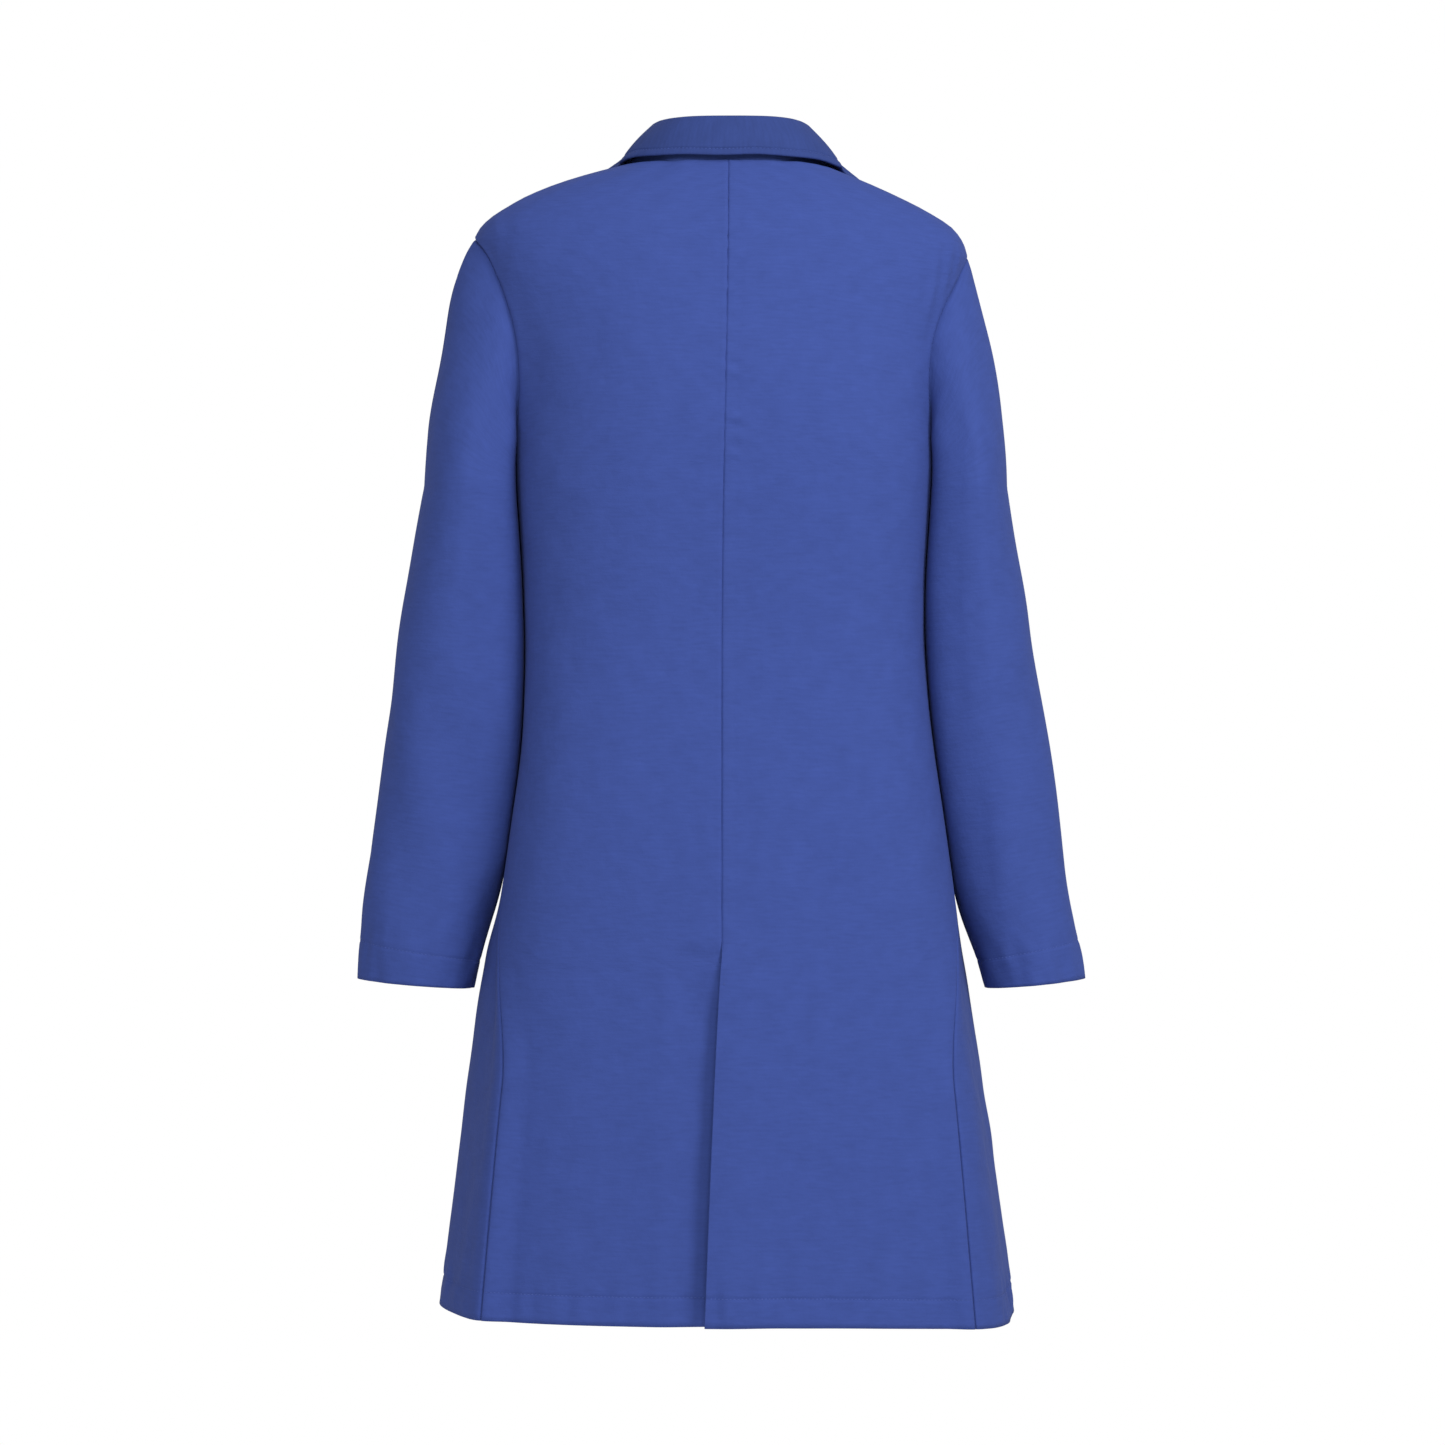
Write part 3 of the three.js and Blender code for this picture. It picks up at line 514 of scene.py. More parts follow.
def metal(name, color, roughness, metallic):
    """Plated or enamelled metal, with fine scuffs in its polish."""
    material, nodes, links, shader = node_material(name)
    shader.inputs["Base Color"].default_value = (*color, 1)
    shader.inputs["Metallic"].default_value = metallic
    place = nodes.new("ShaderNodeTexCoord")
    scuffs = add_node(nodes, "TexNoise", Scale=900)
    links.new(place.outputs["Object"], scuffs.inputs["Vector"])
    spread = add_node(nodes, "MapRange", To_Min=roughness - 0.06, To_Max=roughness + 0.1)
    links.new(scuffs.outputs["Fac"], spread.inputs["Value"])
    links.new(spread.outputs["Result"], shader.inputs["Roughness"])
    return material


COAT_BLUE = (0.0312, 0.056, 0.225)
FACING_BLUE = (0.0295, 0.052, 0.21)
# The collar is cut from the coat's cloth; its blue is the coat's blue about a quarter darker, painted shade
# on the collar.
COLLAR_PAINTED_SHADE_BLUE = (0.0225, 0.042, 0.165)
TAPE_BLUE = (0.03, 0.046, 0.19)
THREAD_BLUE = (0.06, 0.095, 0.32)

coat_cloth = woven("coat cloth", COAT_BLUE, 0.5, 0.85, 0.05, weave_height=0.02, mottle=0.24)
# A darker copy of the coat cloth for the upper and under collar: painted shade.
collar_cloth_painted_shade = woven("collar cloth with painted shade", COLLAR_PAINTED_SHADE_BLUE, 0.5, 0.85, 0.05, weave_height=0.02, mottle=0.3)
facing_cloth = woven("facing cloth", FACING_BLUE, 0.5, 0.88, 0.04)
interlining_cloth = woven("interlining", (0.75, 0.75, 0.72), 0.7, 0.95, 0.0)
tape_cloth = woven("tape", TAPE_BLUE, 0.8, 0.8, 0.05, 0.15)
label_cloth = woven("label", (0.8, 0.8, 0.78), 0.3, 0.7, 0.1)
thread = woven("thread", THREAD_BLUE, 0.3, 0.7, 0.1)
snap_enamel = metal("snap enamel", (0.032, 0.05, 0.2), 0.35, 0.0)
snap_steel = metal("snap steel", (0.62, 0.62, 0.64), 0.3, 1.0)

# -------- panels

AXIS = np.array([0.0, -5.0, 0.0])


def axis_of(points):
    """The coat's upright axis at the height of each point."""
    centre = points.copy()
    centre[..., 0:2] = AXIS[0:2]
    return centre


def mirrored(points, side):
    return points * np.array([side, 1, 1])


def close_to(values, near, span, pitch):
    """Adds closely spaced values either side of each of those in near."""
    extra = [n + k * pitch for n in near for k in range(-span, span + 1)]
    joined = np.unique(np.round(np.concatenate([values, extra]), 3))
    return joined[(joined >= min(values)) & (joined <= max(values))]


def armhole_rows(count):
    return ARMHOLE_CENTRE_Z + ARMHOLE_HALF_HEIGHT * np.cos(np.linspace(0, math.pi, count))


def heights(top, bottom, near=()):
    plain = np.concatenate([np.linspace(bottom, top, 190), armhole_rows(60)])
    rows = close_to(plain[(plain <= top) & (plain >= bottom)], near, 3, 1.2)
    keep = [rows[0]]
    for z in rows[1:]:
        if z - keep[-1] > 0.7:
            keep.append(z)
    keep[-1] = rows[-1]
    return np.array(keep)[::-1]


def with_hem(rows, depth):
    """Rows of a panel that end in a hem: past the lowest one the cloth turns up inside."""
    bottom = rows[-1]
    turned = [0.5, 1.2, 3, 8, 14, depth - 3, depth]
    return np.concatenate([rows, [bottom - t for t in turned]])


def hem_turn(v, bottom):
    """Height and depth below the outer face, for rows that go past the hem's edge."""
    past = np.maximum(bottom - v, 0)
    return np.where(v < bottom, bottom + past - np.minimum(past, 0.6), v), 1.5 * smooth(past / 1.6)


HEM_STITCH = -BACK_LENGTH + HEM_DEPTH - 1


def hem_relief(s, z, seed):
    """The hem's groove along its stitches, and the slight puckers it pulls."""
    line = -0.8 * bump(z - HEM_STITCH, 1.4)
    near = smooth((z + BACK_LENGTH + 2) / 12) * smooth((HEM_STITCH + 26 - z) / 30)
    return line + 0.6 * near * ripple(s * 1.6, z * 0.5, 26, seed)


def centre_seam_relief(side, x, z):
    """The centre-back seam: a sharp groove, its allowance pressed to one side, and puckers."""
    above = smooth((z - VENT_TOP - 3) / 8)
    x = x - side * centre_back(z)
    if side > 0:
        tucked = -(CLOTH + 0.3) * smooth((1.0 - x) / 1.0)
        return tucked + above * 0.15 * bump(x - 3, 2)
    allowance = 0.22 * bump(x - 5, 4) - 0.1 * bump(x - 11, 2.5) - 0.9 * bump(x, 1.1)
    ladder = 0.5 * bump(x - 8, 6) * ripple(x * 0.2, z, 13, 5) * smooth((z + 520) / 200)
    return above * (allowance + ladder)


# As the coat hangs, one shoulder stands higher than the other, and one sleeve is fuller.
SHOULDER_RISE = {1: 5.0, -1: -11.0}
SLEEVE_SPREAD = {1: 9.0, -1: -12.0}
ARMHOLE_SHIFT = {1: 9.0, -1: 2.0}


def leaning(side, points):
    """Moves shoulder and sleeve off the even CAD shape: the torso below the underarm stays."""
    x, z = points[..., 0], points[..., 2]
    below = smooth((CHEST_HEIGHT + 90 - z) / 90)
    inner = lerp(185.0, half_width(z) + 2, below)
    reach = lerp(50.0, 90.0, below)
    fading = lerp(1, 0.55, smooth((-600 - z) / 110))
    moved = points.copy()
    moved[..., 0] += SLEEVE_SPREAD[side] * fading * smooth((x - inner) / reach)
    beside = bump(x - 175, 32) * smooth((-60 - z) / 40) * smooth((z + 530) / 170)
    moved[..., 0] += ARMHOLE_SHIFT[side] * beside
    moved[..., 2] += SHOULDER_RISE[side] * smooth((x - 40) / 165) * smooth((z + 240) / 190)
    return moved


def leaned(points):
    """The same move for a piece that reaches over both sides."""
    right = mirrored(leaning(-1, mirrored(points, -1)), -1)
    return np.where(points[..., :1] >= 0, leaning(1, points), right)


SEAM_ALLOWANCE = 9


def centre_back(z):
    """The centre seam hangs a little towards the wearer's left."""
    return 5.5 * smooth(-z / 420)


def back_edge(side, z):
    """The left back runs on under the right one, by its seam allowance and then by the vent."""
    below = clamp01((VENT_TOP - z) / (BACK_LENGTH + VENT_TOP))
    if side > 0:
        return centre_back(z) + lerp(-SEAM_ALLOWANCE, -VENT_UNDERLAP, clamp01((VENT_TOP + 1 - z) / 13))
    return -centre_back(z) - VENT_OVERLAP * below**0.8


def vent_lift(side, x, z):
    """Over the vent the right back stands off and the left one falls away behind it."""
    below = smooth((VENT_TOP + 6 - z) / 60)
    if side > 0:
        seated = 2.4 * smooth((VENT_TOP + 14 - z) / 13) * smooth((60 - x) / 40)
        return -seated - below * 6.5 * smooth((60 - x) / 54)
    open_out = smooth((VENT_TOP - z) / 260)
    return below * (0.8 + 5.6 * open_out) * smooth((46 - x) / 52)


def drape(s, z, seed):
    """Slow, shallow unevenness of cloth that hangs free, growing towards the hem."""
    free = smooth((-330 - z) / 500)
    slow = 1.3 * ripple(s, z * 0.45, 230, seed) * smooth((-60 - z) / 120)
    flutes = 2.4 * free * ripple(s, z * 0.12, 165, seed + 1)
    small = 0.28 * ripple(s, z, 60, seed + 2)
    return slow + flutes + small


# Pulls in the cloth by each armhole: from (x, z) to (x, z), half width and height.
PULLS = {
    1: [((196, -52), (190, -100), 5, 0.9), ((178, -60), (176, -150), 7, 0.7)],
    -1: [
        ((176, -70), (166, -130), 3.6, 1.9),
        ((187, -74), (174, -142), 3.0, 2.0),
        ((196, -78), (184, -120), 2.6, 1.6),
        ((160, -70), (157, -170), 7.0, 0.8),
    ],
}


def pulls(side, x, z):
    total = 0
    for (x1, z1), (x2, z2), width, height in PULLS[side]:
        length = math.hypot(x2 - x1, z2 - z1)
        ux, uz = (x2 - x1) / length, (z2 - z1) / length
        along = ((x - x1) * ux + (z - z1) * uz) / length
        off = (x - x1) * uz - (z - z1) * ux
        total = total + height * bump(off, width) * smooth((along + 0.7) / 0.9) * smooth((1.4 - along) / 0.8)
    return total


ARMHOLE_GROOVE = 1.9
SEAM_GROOVE = 1.3


def seam_groove(from_edge, z):
    """The dip where a panel turns in at its armhole, and the shallower one at its other seams."""
    inside = np.abs(z - ARMHOLE_CENTRE_Z) < ARMHOLE_HALF_HEIGHT + 2
    depth = np.where(inside, ARMHOLE_GROOVE, SEAM_GROOVE)
    proud = np.where(inside, 0.5, 0.2)
    return proud * bump(from_edge - 5, 3.5) - depth * bump(from_edge, np.where(inside, 1.1, 1.0))


def calm_sides(angle, z):
    """The coat's side is held still where the sleeve lies against it."""
    beside = bump(angle, 0.55) * smooth((z + 680) / 60) * smooth((-200 - z) / 40)
    return 1 - 0.92 * beside


# How far the hem rises or dips at each side seam.
HEM_TILT = {1: 2.0, -1: -8.0}


def hem_hang(side, points):
    """The hem hangs a little unevenly."""
    hung = points.copy()
    share = (points[..., 0] / HEM_HALF_WIDTH) ** 2
    hung[..., 2] += HEM_TILT[side] * share * smooth((-700 - points[..., 2]) / 275)
    return hung


def set_in_place(side, points):
    """From the even shape of the wearer's left to how the coat hangs on the given side."""
    return mirrored(hem_hang(side, leaning(side, points)), side)


MM_PER_RADIAN = 200  # turns an angle round the body into a length, for the folds


def back_surface(side):
    def surface(u, v):
        z, depth = hem_turn(v, -BACK_LENGTH)
        start = panel_start(z, True)
        angle = lerp(start, angle_at(back_edge(side, z), z, True), u)
        base = on_body(angle, z)
        x, s = base[..., 0], (math.pi / 2 - angle) * MM_PER_RADIAN * side
        from_edge = np.linalg.norm(base - on_body(start, z), axis=-1)
        slack = hem_relief(s, z, 31) + drape(s, z, 12) + pulls(side, x, z)
        slack = slack * calm_sides(angle, z) * smooth(from_edge / 26)
        relief = slack + centre_seam_relief(side, x, z) + vent_lift(side, x, z)
        relief = relief + seam_groove(from_edge, z) - depth
        return set_in_place(side, body_point(angle, z, relief))

    return surface


def lap_drop(x, z):
    return LAP_DROP * smooth((LAP_HALF + 5 + LAP_BLEND - x) / LAP_BLEND) * smooth((-130 - z) / 90)


def front_edge(z):
    roll = lerp(-LAP_HALF, ROLL_TOP_HALF_WIDTH, (z - BREAK_HEIGHT) / (ROLL_TOP_HEIGHT - BREAK_HEIGHT))
    neck = lerp(ROLL_TOP_HALF_WIDTH, NECK_HALF_WIDTH - 4, 1 - z / ROLL_TOP_HEIGHT)
    return np.where(z <= BREAK_HEIGHT, -LAP_HALF, np.where(z <= ROLL_TOP_HEIGHT, roll, neck))


def front_relief(side, angle, z):
    base = on_body(angle, z)
    x = base[..., 0]
    s = angle * MM_PER_RADIAN
    relief = drape(s, z, 21 + side) + hem_relief(s, z, 41 + side)
    calm = smooth((np.abs(x) - 15) / 60)
    relief = relief * lerp(0.3, 1, calm) * calm_sides(angle, z)
    return relief - (lap_drop(x, z) if side > 0 else 0)


def front_surface(side):
    def surface(u, v):
        z, depth = hem_turn(v, -BACK_LENGTH)
        start = panel_start(z, False)
        angle = lerp(start, angle_at(front_edge(z), z, False), u)
        from_edge = np.linalg.norm(on_body(angle, z) - on_body(start, z), axis=-1)
        relief = front_relief(side, angle, z) * smooth(from_edge / 26)
        relief = relief + seam_groove(from_edge, z) - depth
        return set_in_place(side, body_point(angle, z, relief))

    return surface


def on_front(side, x, z, offset):
    """A point over a front panel, offset from its outer face."""
    angle = angle_at(x, z, False)
    return set_in_place(side, body_point(angle, z, front_relief(side, angle, z) + offset))


def edge_columns(count):
    """Shares across a panel, evenly spaced but with closer ones at both ends."""
    even = np.linspace(0, 1, count)
    near = np.array([0.003, 0.006, 0.009, 0.013, 0.018, 0.025])
    return np.unique(np.concatenate([even, near, 1 - near]))


def sample(surface, us, vs):
    u, v = np.meshgrid(us, vs)
    return surface(u, v)


def line_on(surface, us, vs):
    """Points and outward normals along a line on a surface, for a row of stitches."""
    us, vs = np.broadcast_arrays(np.asarray(us, float), np.asarray(vs, float))
    points = surface(us, vs)
    along = surface(us + 1e-3, vs) - surface(us - 1e-3, vs)
    down = surface(us, vs - 0.5) - surface(us, vs + 0.5)
    normals = unit(np.cross(along, down))
    if np.sum(normals * (points - axis_of(points))) < 0:
        normals = -normals
    return points, normals


def fold_blend(piece, body, fold, side_of_flap, before=30, after=4):
    """Bakes a piece's placement into its mesh; the fold line's direction towards the flap is worked out, but
    the piece is not bent.
    """
    (ax, az), (bx, bz) = fold
    along = unit(np.array([bx - ax, bz - az], float))
    across = np.array([-along[1], along[0]])
    if across[0] * side_of_flap < 0:
        across = -across
    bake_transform(piece)


# Distances before and after the vent's fold line, handed to fold_blend.
VENT_OVER_BEND = {"before": -5, "after": 34}


def back():
    for side, word in ((1, "left"), (-1, "right")):
        surface = back_surface(side)
        rows = with_hem(heights(0, -BACK_LENGTH, [HEM_STITCH, VENT_TOP, VENT_TOP - 12]), HEM_DEPTH)
        columns = np.unique(np.concatenate([edge_columns(84), 1 - np.linspace(0, 0.12, 34)]))
        points = sample(surface, columns, rows)
        panel = cloth(f"back_{word}", points, axis_of(points), coat_cloth)
        us = np.linspace(0.004, 0.995, 220)
        lines = [line_on(surface, us, HEM_STITCH)]
        if side < 0:
            for z, reach in ((-679, 5), (-692, 9)):
                xs = 1 - np.linspace(0.002, reach / 240, 5)
                lines.append(line_on(surface, xs, z))
                lines.append(line_on(surface, xs, z - 0.8))
        sewing = stitches(f"back_{word}_stitches", lines, thread)
        over = side < 0
        nodes = [f"back_{word}_panel", "vent_over_flap" if over else "vent_under_flap"]
        for piece in (panel, sewing):
            fold_blend(
                piece,
                "vent_over" if over else "vent_under",
                VENT_OVER_FOLD if over else VENT_UNDER_FOLD,
                1 if over else -1,
                **(VENT_OVER_BEND if over else {}),
            )
        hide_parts(*nodes)


def front():
    for side, word in ((1, "left"), (-1, "right")):
        surface = front_surface(side)
        rows = with_hem(heights(0, -BACK_LENGTH, [HEM_STITCH, BREAK_HEIGHT]), HEM_DEPTH)
        points = sample(surface, edge_columns(92), rows)
        panel = cloth(f"front_{word}", points, axis_of(points), coat_cloth)
        us = np.linspace(0.004, 0.995, 260)
        zs = np.linspace(BREAK_HEIGHT, -BACK_LENGTH + 2, 300)
        edge = on_front(side, np.full_like(zs, 7 - LAP_HALF), zs, 0.1)
        outward = mirrored(body_normal(angle_at(7 - LAP_HALF, zs, False), zs), side)
        sewing = stitches(
            f"front_{word}_stitches", [line_on(surface, us, HEM_STITCH), (edge, outward)], thread
        )
        over = side < 0
        body = "front_over" if over else "front_under"
        fold = FRONT_OVER_FOLD if over else FRONT_UNDER_FOLD
        nodes = [f"front_{word}_panel", "front_over_flap" if over else "front_under_flap"]

        facing_rows = np.linspace(FACING_TOP, -BACK_LENGTH + 2, 150)
        shares, zgrid = np.meshgrid(np.linspace(0, 1, 14), facing_rows)
        strip = on_front(side, front_edge(zgrid) + 1 + shares * FACING_WIDTH, zgrid, -1.2 - CLOTH / 2)
        facing = cloth(f"facing_{word}", strip, axis_of(strip), facing_cloth)
        for piece in (panel, sewing, facing):
            fold_blend(piece, body, fold, 1 if over else -1)
        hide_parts(*nodes)
        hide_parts(f"facing_{word}_upper", f"facing_{word}_lower")


# -------- lapels and collar

LAPEL_TIP = (122, -102)
LAPEL_GORGE = (54, -50)


def lapels():
    for side, word in ((1, "left"), (-1, "right")):
        foot = 0.28 if side > 0 else 0.06

        def surface(across, up, side=side, foot=foot):
            w = lerp(foot, 1, up)
            z = lerp(BREAK_HEIGHT, lerp(LAPEL_GORGE[1], LAPEL_TIP[1], across), w)
            roll = front_edge(z) + 0.4
            edge = lerp(-LAP_HALF, LAPEL_TIP[0], w**0.86)
            x = lerp(roll, np.maximum(edge, roll + 1), across)
            away = x - roll
            lift = 1.0 + 2.0 * bump(away - 4, 6) + 1.6 * smooth(across) * smooth(w) - 0.9 * bump(away, 1.2)
            return on_front(side, x, z, lift)

        points = sample(surface, edge_columns(30), np.linspace(0, 1, 70))
        lapel = cloth(f"lapel_{word}_cloth", points, axis_of(points), coat_cloth, 1.0)
        ups = np.linspace(0.02, 0.97, 90)
        outer = surface(np.full_like(ups, 0.93), ups)
        front = np.tile([0.0, -1.0, 0.0], (len(ups), 1))
        sewing = stitches(f"lapel_{word}_stitches", [(outer, front)], thread)
        for piece in (lapel, sewing):
            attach(piece, "torso")
        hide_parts(f"lapel_{word}")


NECK_LINE = [
    (0, NECK_BACK_DEPTH - 3.4, -3),
    (48, 49, -3),
    (82, 16, -3),
    (83, -14, -3),
    (72, -36, -9),
    (56, -50, -26),
]
CREST_LINE = [(0, 52, 38), (40, 42, 38), (61, 8, 37), (66, -17, 29), (63, -42, 13), (57, -63, -14)]
LEAF_PLACES = [(90, 0, 7), (56, 0, 7.5), (22, -1, 4.2), (-14, -2, 3.6), (-40, -23, 4.5), (-60, -66, 5.5)]
CREST_RADIUS = 5.0
# The fall of the collar sits a little towards the wearer's right, and its edge is not quite even.
COLLAR_SHIFT = 2.5
LEAF_WAVE = 0.9
LEAF_STITCH = 2.84
COLLAR_LAYER_GAP = 0.25


def leaf_line():
    return [body_point(math.radians(a), float(z), off) for a, z, off in LEAF_PLACES]


def both_halves(line):
    half = [np.array(p, float) for p in line]
    other = [p * np.array([-1, 1, 1]) for p in half[:0:-1]]
    return spline(other + half)


def collar_surface():
    neck_at, crest_at, leaf_at = (both_halves(line) for line in (NECK_LINE, CREST_LINE, leaf_line()))

    def surface(s, t):
        """The collar's shown face: t from 0 to 1 is the stand, to 2 the crest, to 3 the fall."""
        neck, crest, leaf = neck_at(s), crest_at(s), leaf_at(s)
        leaf[..., 2] += LEAF_WAVE * ripple(s * 600, 0, 80, 9)
        up = unit(crest - (neck + leaf) / 2)
        out = leaf - neck
        out = unit(out - up * np.sum(out * up, axis=-1, keepdims=True))
        centre = crest - up * CREST_RADIUS
        turn = (math.pi * clamp01(t - 1))[..., None]
        arc = centre - out * CREST_RADIUS * np.cos(turn) + up * CREST_RADIUS * np.sin(turn)
        rise = lerp(neck, centre - out * CREST_RADIUS, clamp01(t)[..., None])
        fall = lerp(centre + out * CREST_RADIUS, leaf, clamp01(t - 2)[..., None])
        bulge = 1.6 * np.sin(math.pi * clamp01(t - 2)) - 0.7 * bump(t - LEAF_STITCH, 0.03)
        belly = bulge[..., None] * out
        shift = -COLLAR_SHIFT * smooth(t)
        t = t[..., None]
        points = np.where(t <= 1, rise, np.where(t <= 2, arc, fall + belly))
        points[..., 0] += shift
        return leaned(points)

    return surface


def collar():
    surface = collar_surface()
    ss = np.unique(np.concatenate([np.linspace(0, 1, 150), [0.003, 0.007, 0.993, 0.997]]))
    ts = np.concatenate([np.linspace(0, 1, 10), np.linspace(1, 2, 12)[1:], np.linspace(2, 3, 22)[1:]])
    ts = np.unique(np.concatenate([ts, LEAF_STITCH + np.linspace(-0.05, 0.05, 9)]))
    points = sample(surface, ss, ts).transpose(1, 0, 2)
    normals = grid_normals(points, points - np.array([0, 0, 1.0]))
    crest = normals[:, 15, 2]
    if crest.mean() < 0:
        normals = -normals
    turned = []
    for past, deep in ((0.5, 0.7), (0.4, 1.7), (-0.8, 2.7), (-3, 3.0), (-6, 3.0)):
        away = unit(points[:, -1] - points[:, -2])
        turned.append(points[:, -1] + away * past - normals[:, -1] * deep)
    depth = 0.0
    # Each layer: its thickness, its cloth, and the stretch of the collar that it covers.
    for name, thickness, material, kept in (
        ("upper_collar", 0.8, collar_cloth_painted_shade, np.s_[:, :]),
        ("collar_interlining", 0.5, interlining_cloth, np.s_[4:-4, :-4]),
        ("under_collar", 0.8, collar_cloth_painted_shade, np.s_[3:-3, :-1]),
    ):
        layer = (points - normals * depth)[kept]
        outward = normals[kept]
        if name == "upper_collar":
            layer = np.concatenate([layer, np.stack(turned, axis=1)], axis=1)
            outward = np.concatenate([outward, np.repeat(outward[:, -1:], len(turned), axis=1)], axis=1)
        sheet = cloth(name + "_cloth", layer, layer - outward, material, thickness)
        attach(sheet, "torso")
        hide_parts(name)
        if name == "upper_collar":
            edge = surface(ss, np.full_like(ss, LEAF_STITCH))
            lines = [(edge, normals[:, np.searchsorted(ts, LEAF_STITCH)])]
            for s, i in ((0.018, 3), (0.982, -4)):
                t = np.linspace(2.05, LEAF_STITCH, 24)
                end = surface(np.full_like(t, s), t)
                lines.append((end, np.repeat(normals[i, -8][None], len(t), axis=0)))
            sewing = stitches("collar_stitches", lines, thread)
            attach(sewing, "torso")
        depth += thickness + COLLAR_LAYER_GAP


# -------- sleeves

SLEEVE_STATIONS = [
    (-275, 214, 38, 73),
    (-385, 220.5, 49.5, 61),
    (-521, 236, 53.5, 52),
    (-620, 252, 51.5, 46),
    (-700, 266, 47, 41),
]
sleeve_x = through([(z, x) for z, x, _, _ in SLEEVE_STATIONS])
sleeve_width = through([(z, w) for z, _, w, _ in SLEEVE_STATIONS])
sleeve_depth = through([(z, d) for z, _, _, d in SLEEVE_STATIONS])


def sleeve_axis(z):
    lean = (sleeve_x(z - 10) - sleeve_x(z + 10)) / 20
    return unit(np.stack([lean, np.zeros_like(lean), -np.ones_like(lean)], axis=-1))


def sleeve_tube(turn, z, depth):
    """Turn 0 is the sleeve's outer edge and 90 degrees its back, which is squarer beside the body."""
    axis = sleeve_axis(z)
    outer = np.stack([-axis[..., 2], 0 * z, axis[..., 0]], axis=-1)
    c, s = np.cos(turn), np.sin(turn)
    power = 2 + np.where(c < 0, 0.9, 0) * smooth((z + 660) / 330)
    reach = (np.abs(c) ** power + np.abs(s) ** power) ** (-1 / power)
    across = (sleeve_width(z) - depth) * reach * c
    back = (sleeve_depth(z) - depth) * reach * s
    centre = np.stack([sleeve_x(z), SLEEVE_Y + back, z], axis=-1)
    return centre + outer * across[..., None]


def armhole_ring(turn, depth):
    inset = 0.3 + depth
    y = ARMHOLE_CENTRE_Y + (ARMHOLE_HALF_DEPTH - inset) * np.sin(turn)
    z = ARMHOLE_CENTRE_Z + (ARMHOLE_HALF_HEIGHT - inset) * np.cos(turn)
    return np.stack([coat_side(y, z), y, z], axis=-1)


def sleeve_head(turn, down):
    start, end = armhole_ring(turn, 0), sleeve_tube(turn, np.full_like(turn, SLEEVE_TOP), 0)
    reach = np.linalg.norm(start - end, axis=-1, keepdims=True)
    drop = -1 + SLEEVE_HEAD_SLOPE**2 / 2
    slope = np.full_like(turn, SLEEVE_HEAD_SLOPE)
    leave = unit(np.stack([slope, SLEEVE_HEAD_SPREAD * np.sin(turn), np.full_like(turn, drop)], -1))
    arrive = sleeve_axis(np.full_like(turn, SLEEVE_TOP))
    return hermite(start, leave * reach, end, arrive * reach, down[..., None])


def sleeve_relief(side, turn, z):
    """Soft folds: shallow pulls from the underarm, long ones down the arm, puckers at the cuff."""
    s = turn * 52
    seed = 61 + side
    lower = smooth((-300 - z) / 120)
    slow = 0.8 * ripple(s * 0.8, z * 0.5, 190, seed)
    folds = 0.9 * lower * ripple(s + 0.35 * z, z * 0.5, 75, seed + 1)
    cuff_line = -0.5 * bump(z - (CUFF_HEIGHT + CUFF_HEM), 1.4)
    hollow = -6 * bump(z + 160, 50) * np.maximum(np.cos(turn), 0) if side > 0 else 0
    pucker = 0.5 * smooth((CUFF_HEIGHT + 60 - z) / 40) * ripple(s * 1.5, z * 0.4, 28, seed + 2)
    return slow + folds + cuff_line + pucker + hollow


SLEEVE_REST_GAP = 0.35
# The sleeve's seam allowance, turned in behind the panels round the armhole.
SLEEVE_ALLOWANCE = 4.0
ALLOWANCE_DEPTH = 2.2
REST_FOOT = {1: -652, -1: -680}


def against_body(side, points):
    """The inner side of the sleeve lies along the coat's side, nearly down to the cuff."""
    x, y, z = points[..., 0], points[..., 1], points[..., 2]
    wall = coat_side(y, z) + SLEEVE_REST_GAP
    gap = x - wall
    rests = smooth((CHEST_HEIGHT + 80 - z) / 60) * smooth((z - REST_FOOT[side]) / 70)
    pulled = x - np.maximum(gap, 0) * (1 - smooth(gap / 40)) * rests
    kept_out = lerp(pulled, np.maximum(pulled, wall), smooth((CHEST_HEIGHT + 40 - z) / 60))
    settled = points.copy()
    settled[..., 0] = kept_out
    return settled


SLEEVE_HEAD_LENGTH = 150.0
SLEEVE_HEAD_MIDDLE = np.array([205, SLEEVE_Y, 0])


def sleeve_surface(side):
    def surface(turn, v):
        """v runs down from 0 at the armhole: first the head, then height. Below 0 is the allowance."""
        z, depth = hem_turn(SLEEVE_TOP - (v - SLEEVE_HEAD_LENGTH), CUFF_HEIGHT)
        down = clamp01(v / SLEEVE_HEAD_LENGTH)
        head = sleeve_head(turn, down)
        in_head = v < SLEEVE_HEAD_LENGTH
        relief = sleeve_relief(side, turn, np.where(in_head, head[..., 2], z))
        start = smooth(v / 30) * smooth((v + 4) / 60)
        relief = relief * start - ARMHOLE_GROOVE * bump(v, 1.1) + 0.4 * bump(v - 8, 6)
        tube = sleeve_tube(turn, np.minimum(z, SLEEVE_TOP), depth - relief)
        out = unit((head - SLEEVE_HEAD_MIDDLE) * np.array([1, 1, 0]))
        out = unit(lerp(np.array([1.0, 0, 0.25]), out, 0.25 + 0.75 * down[..., None] ** 0.7))
        lifted = head + out * relief[..., None]
        whole = np.where(in_head[..., None], lifted, tube)
        allowance = armhole_ring(turn, -SLEEVE_ALLOWANCE) - np.array([ALLOWANCE_DEPTH, 0, 0])
        settled = np.where((v < 0)[..., None], allowance, against_body(side, whole))
        return mirrored(leaning(side, settled), side)

    return surface


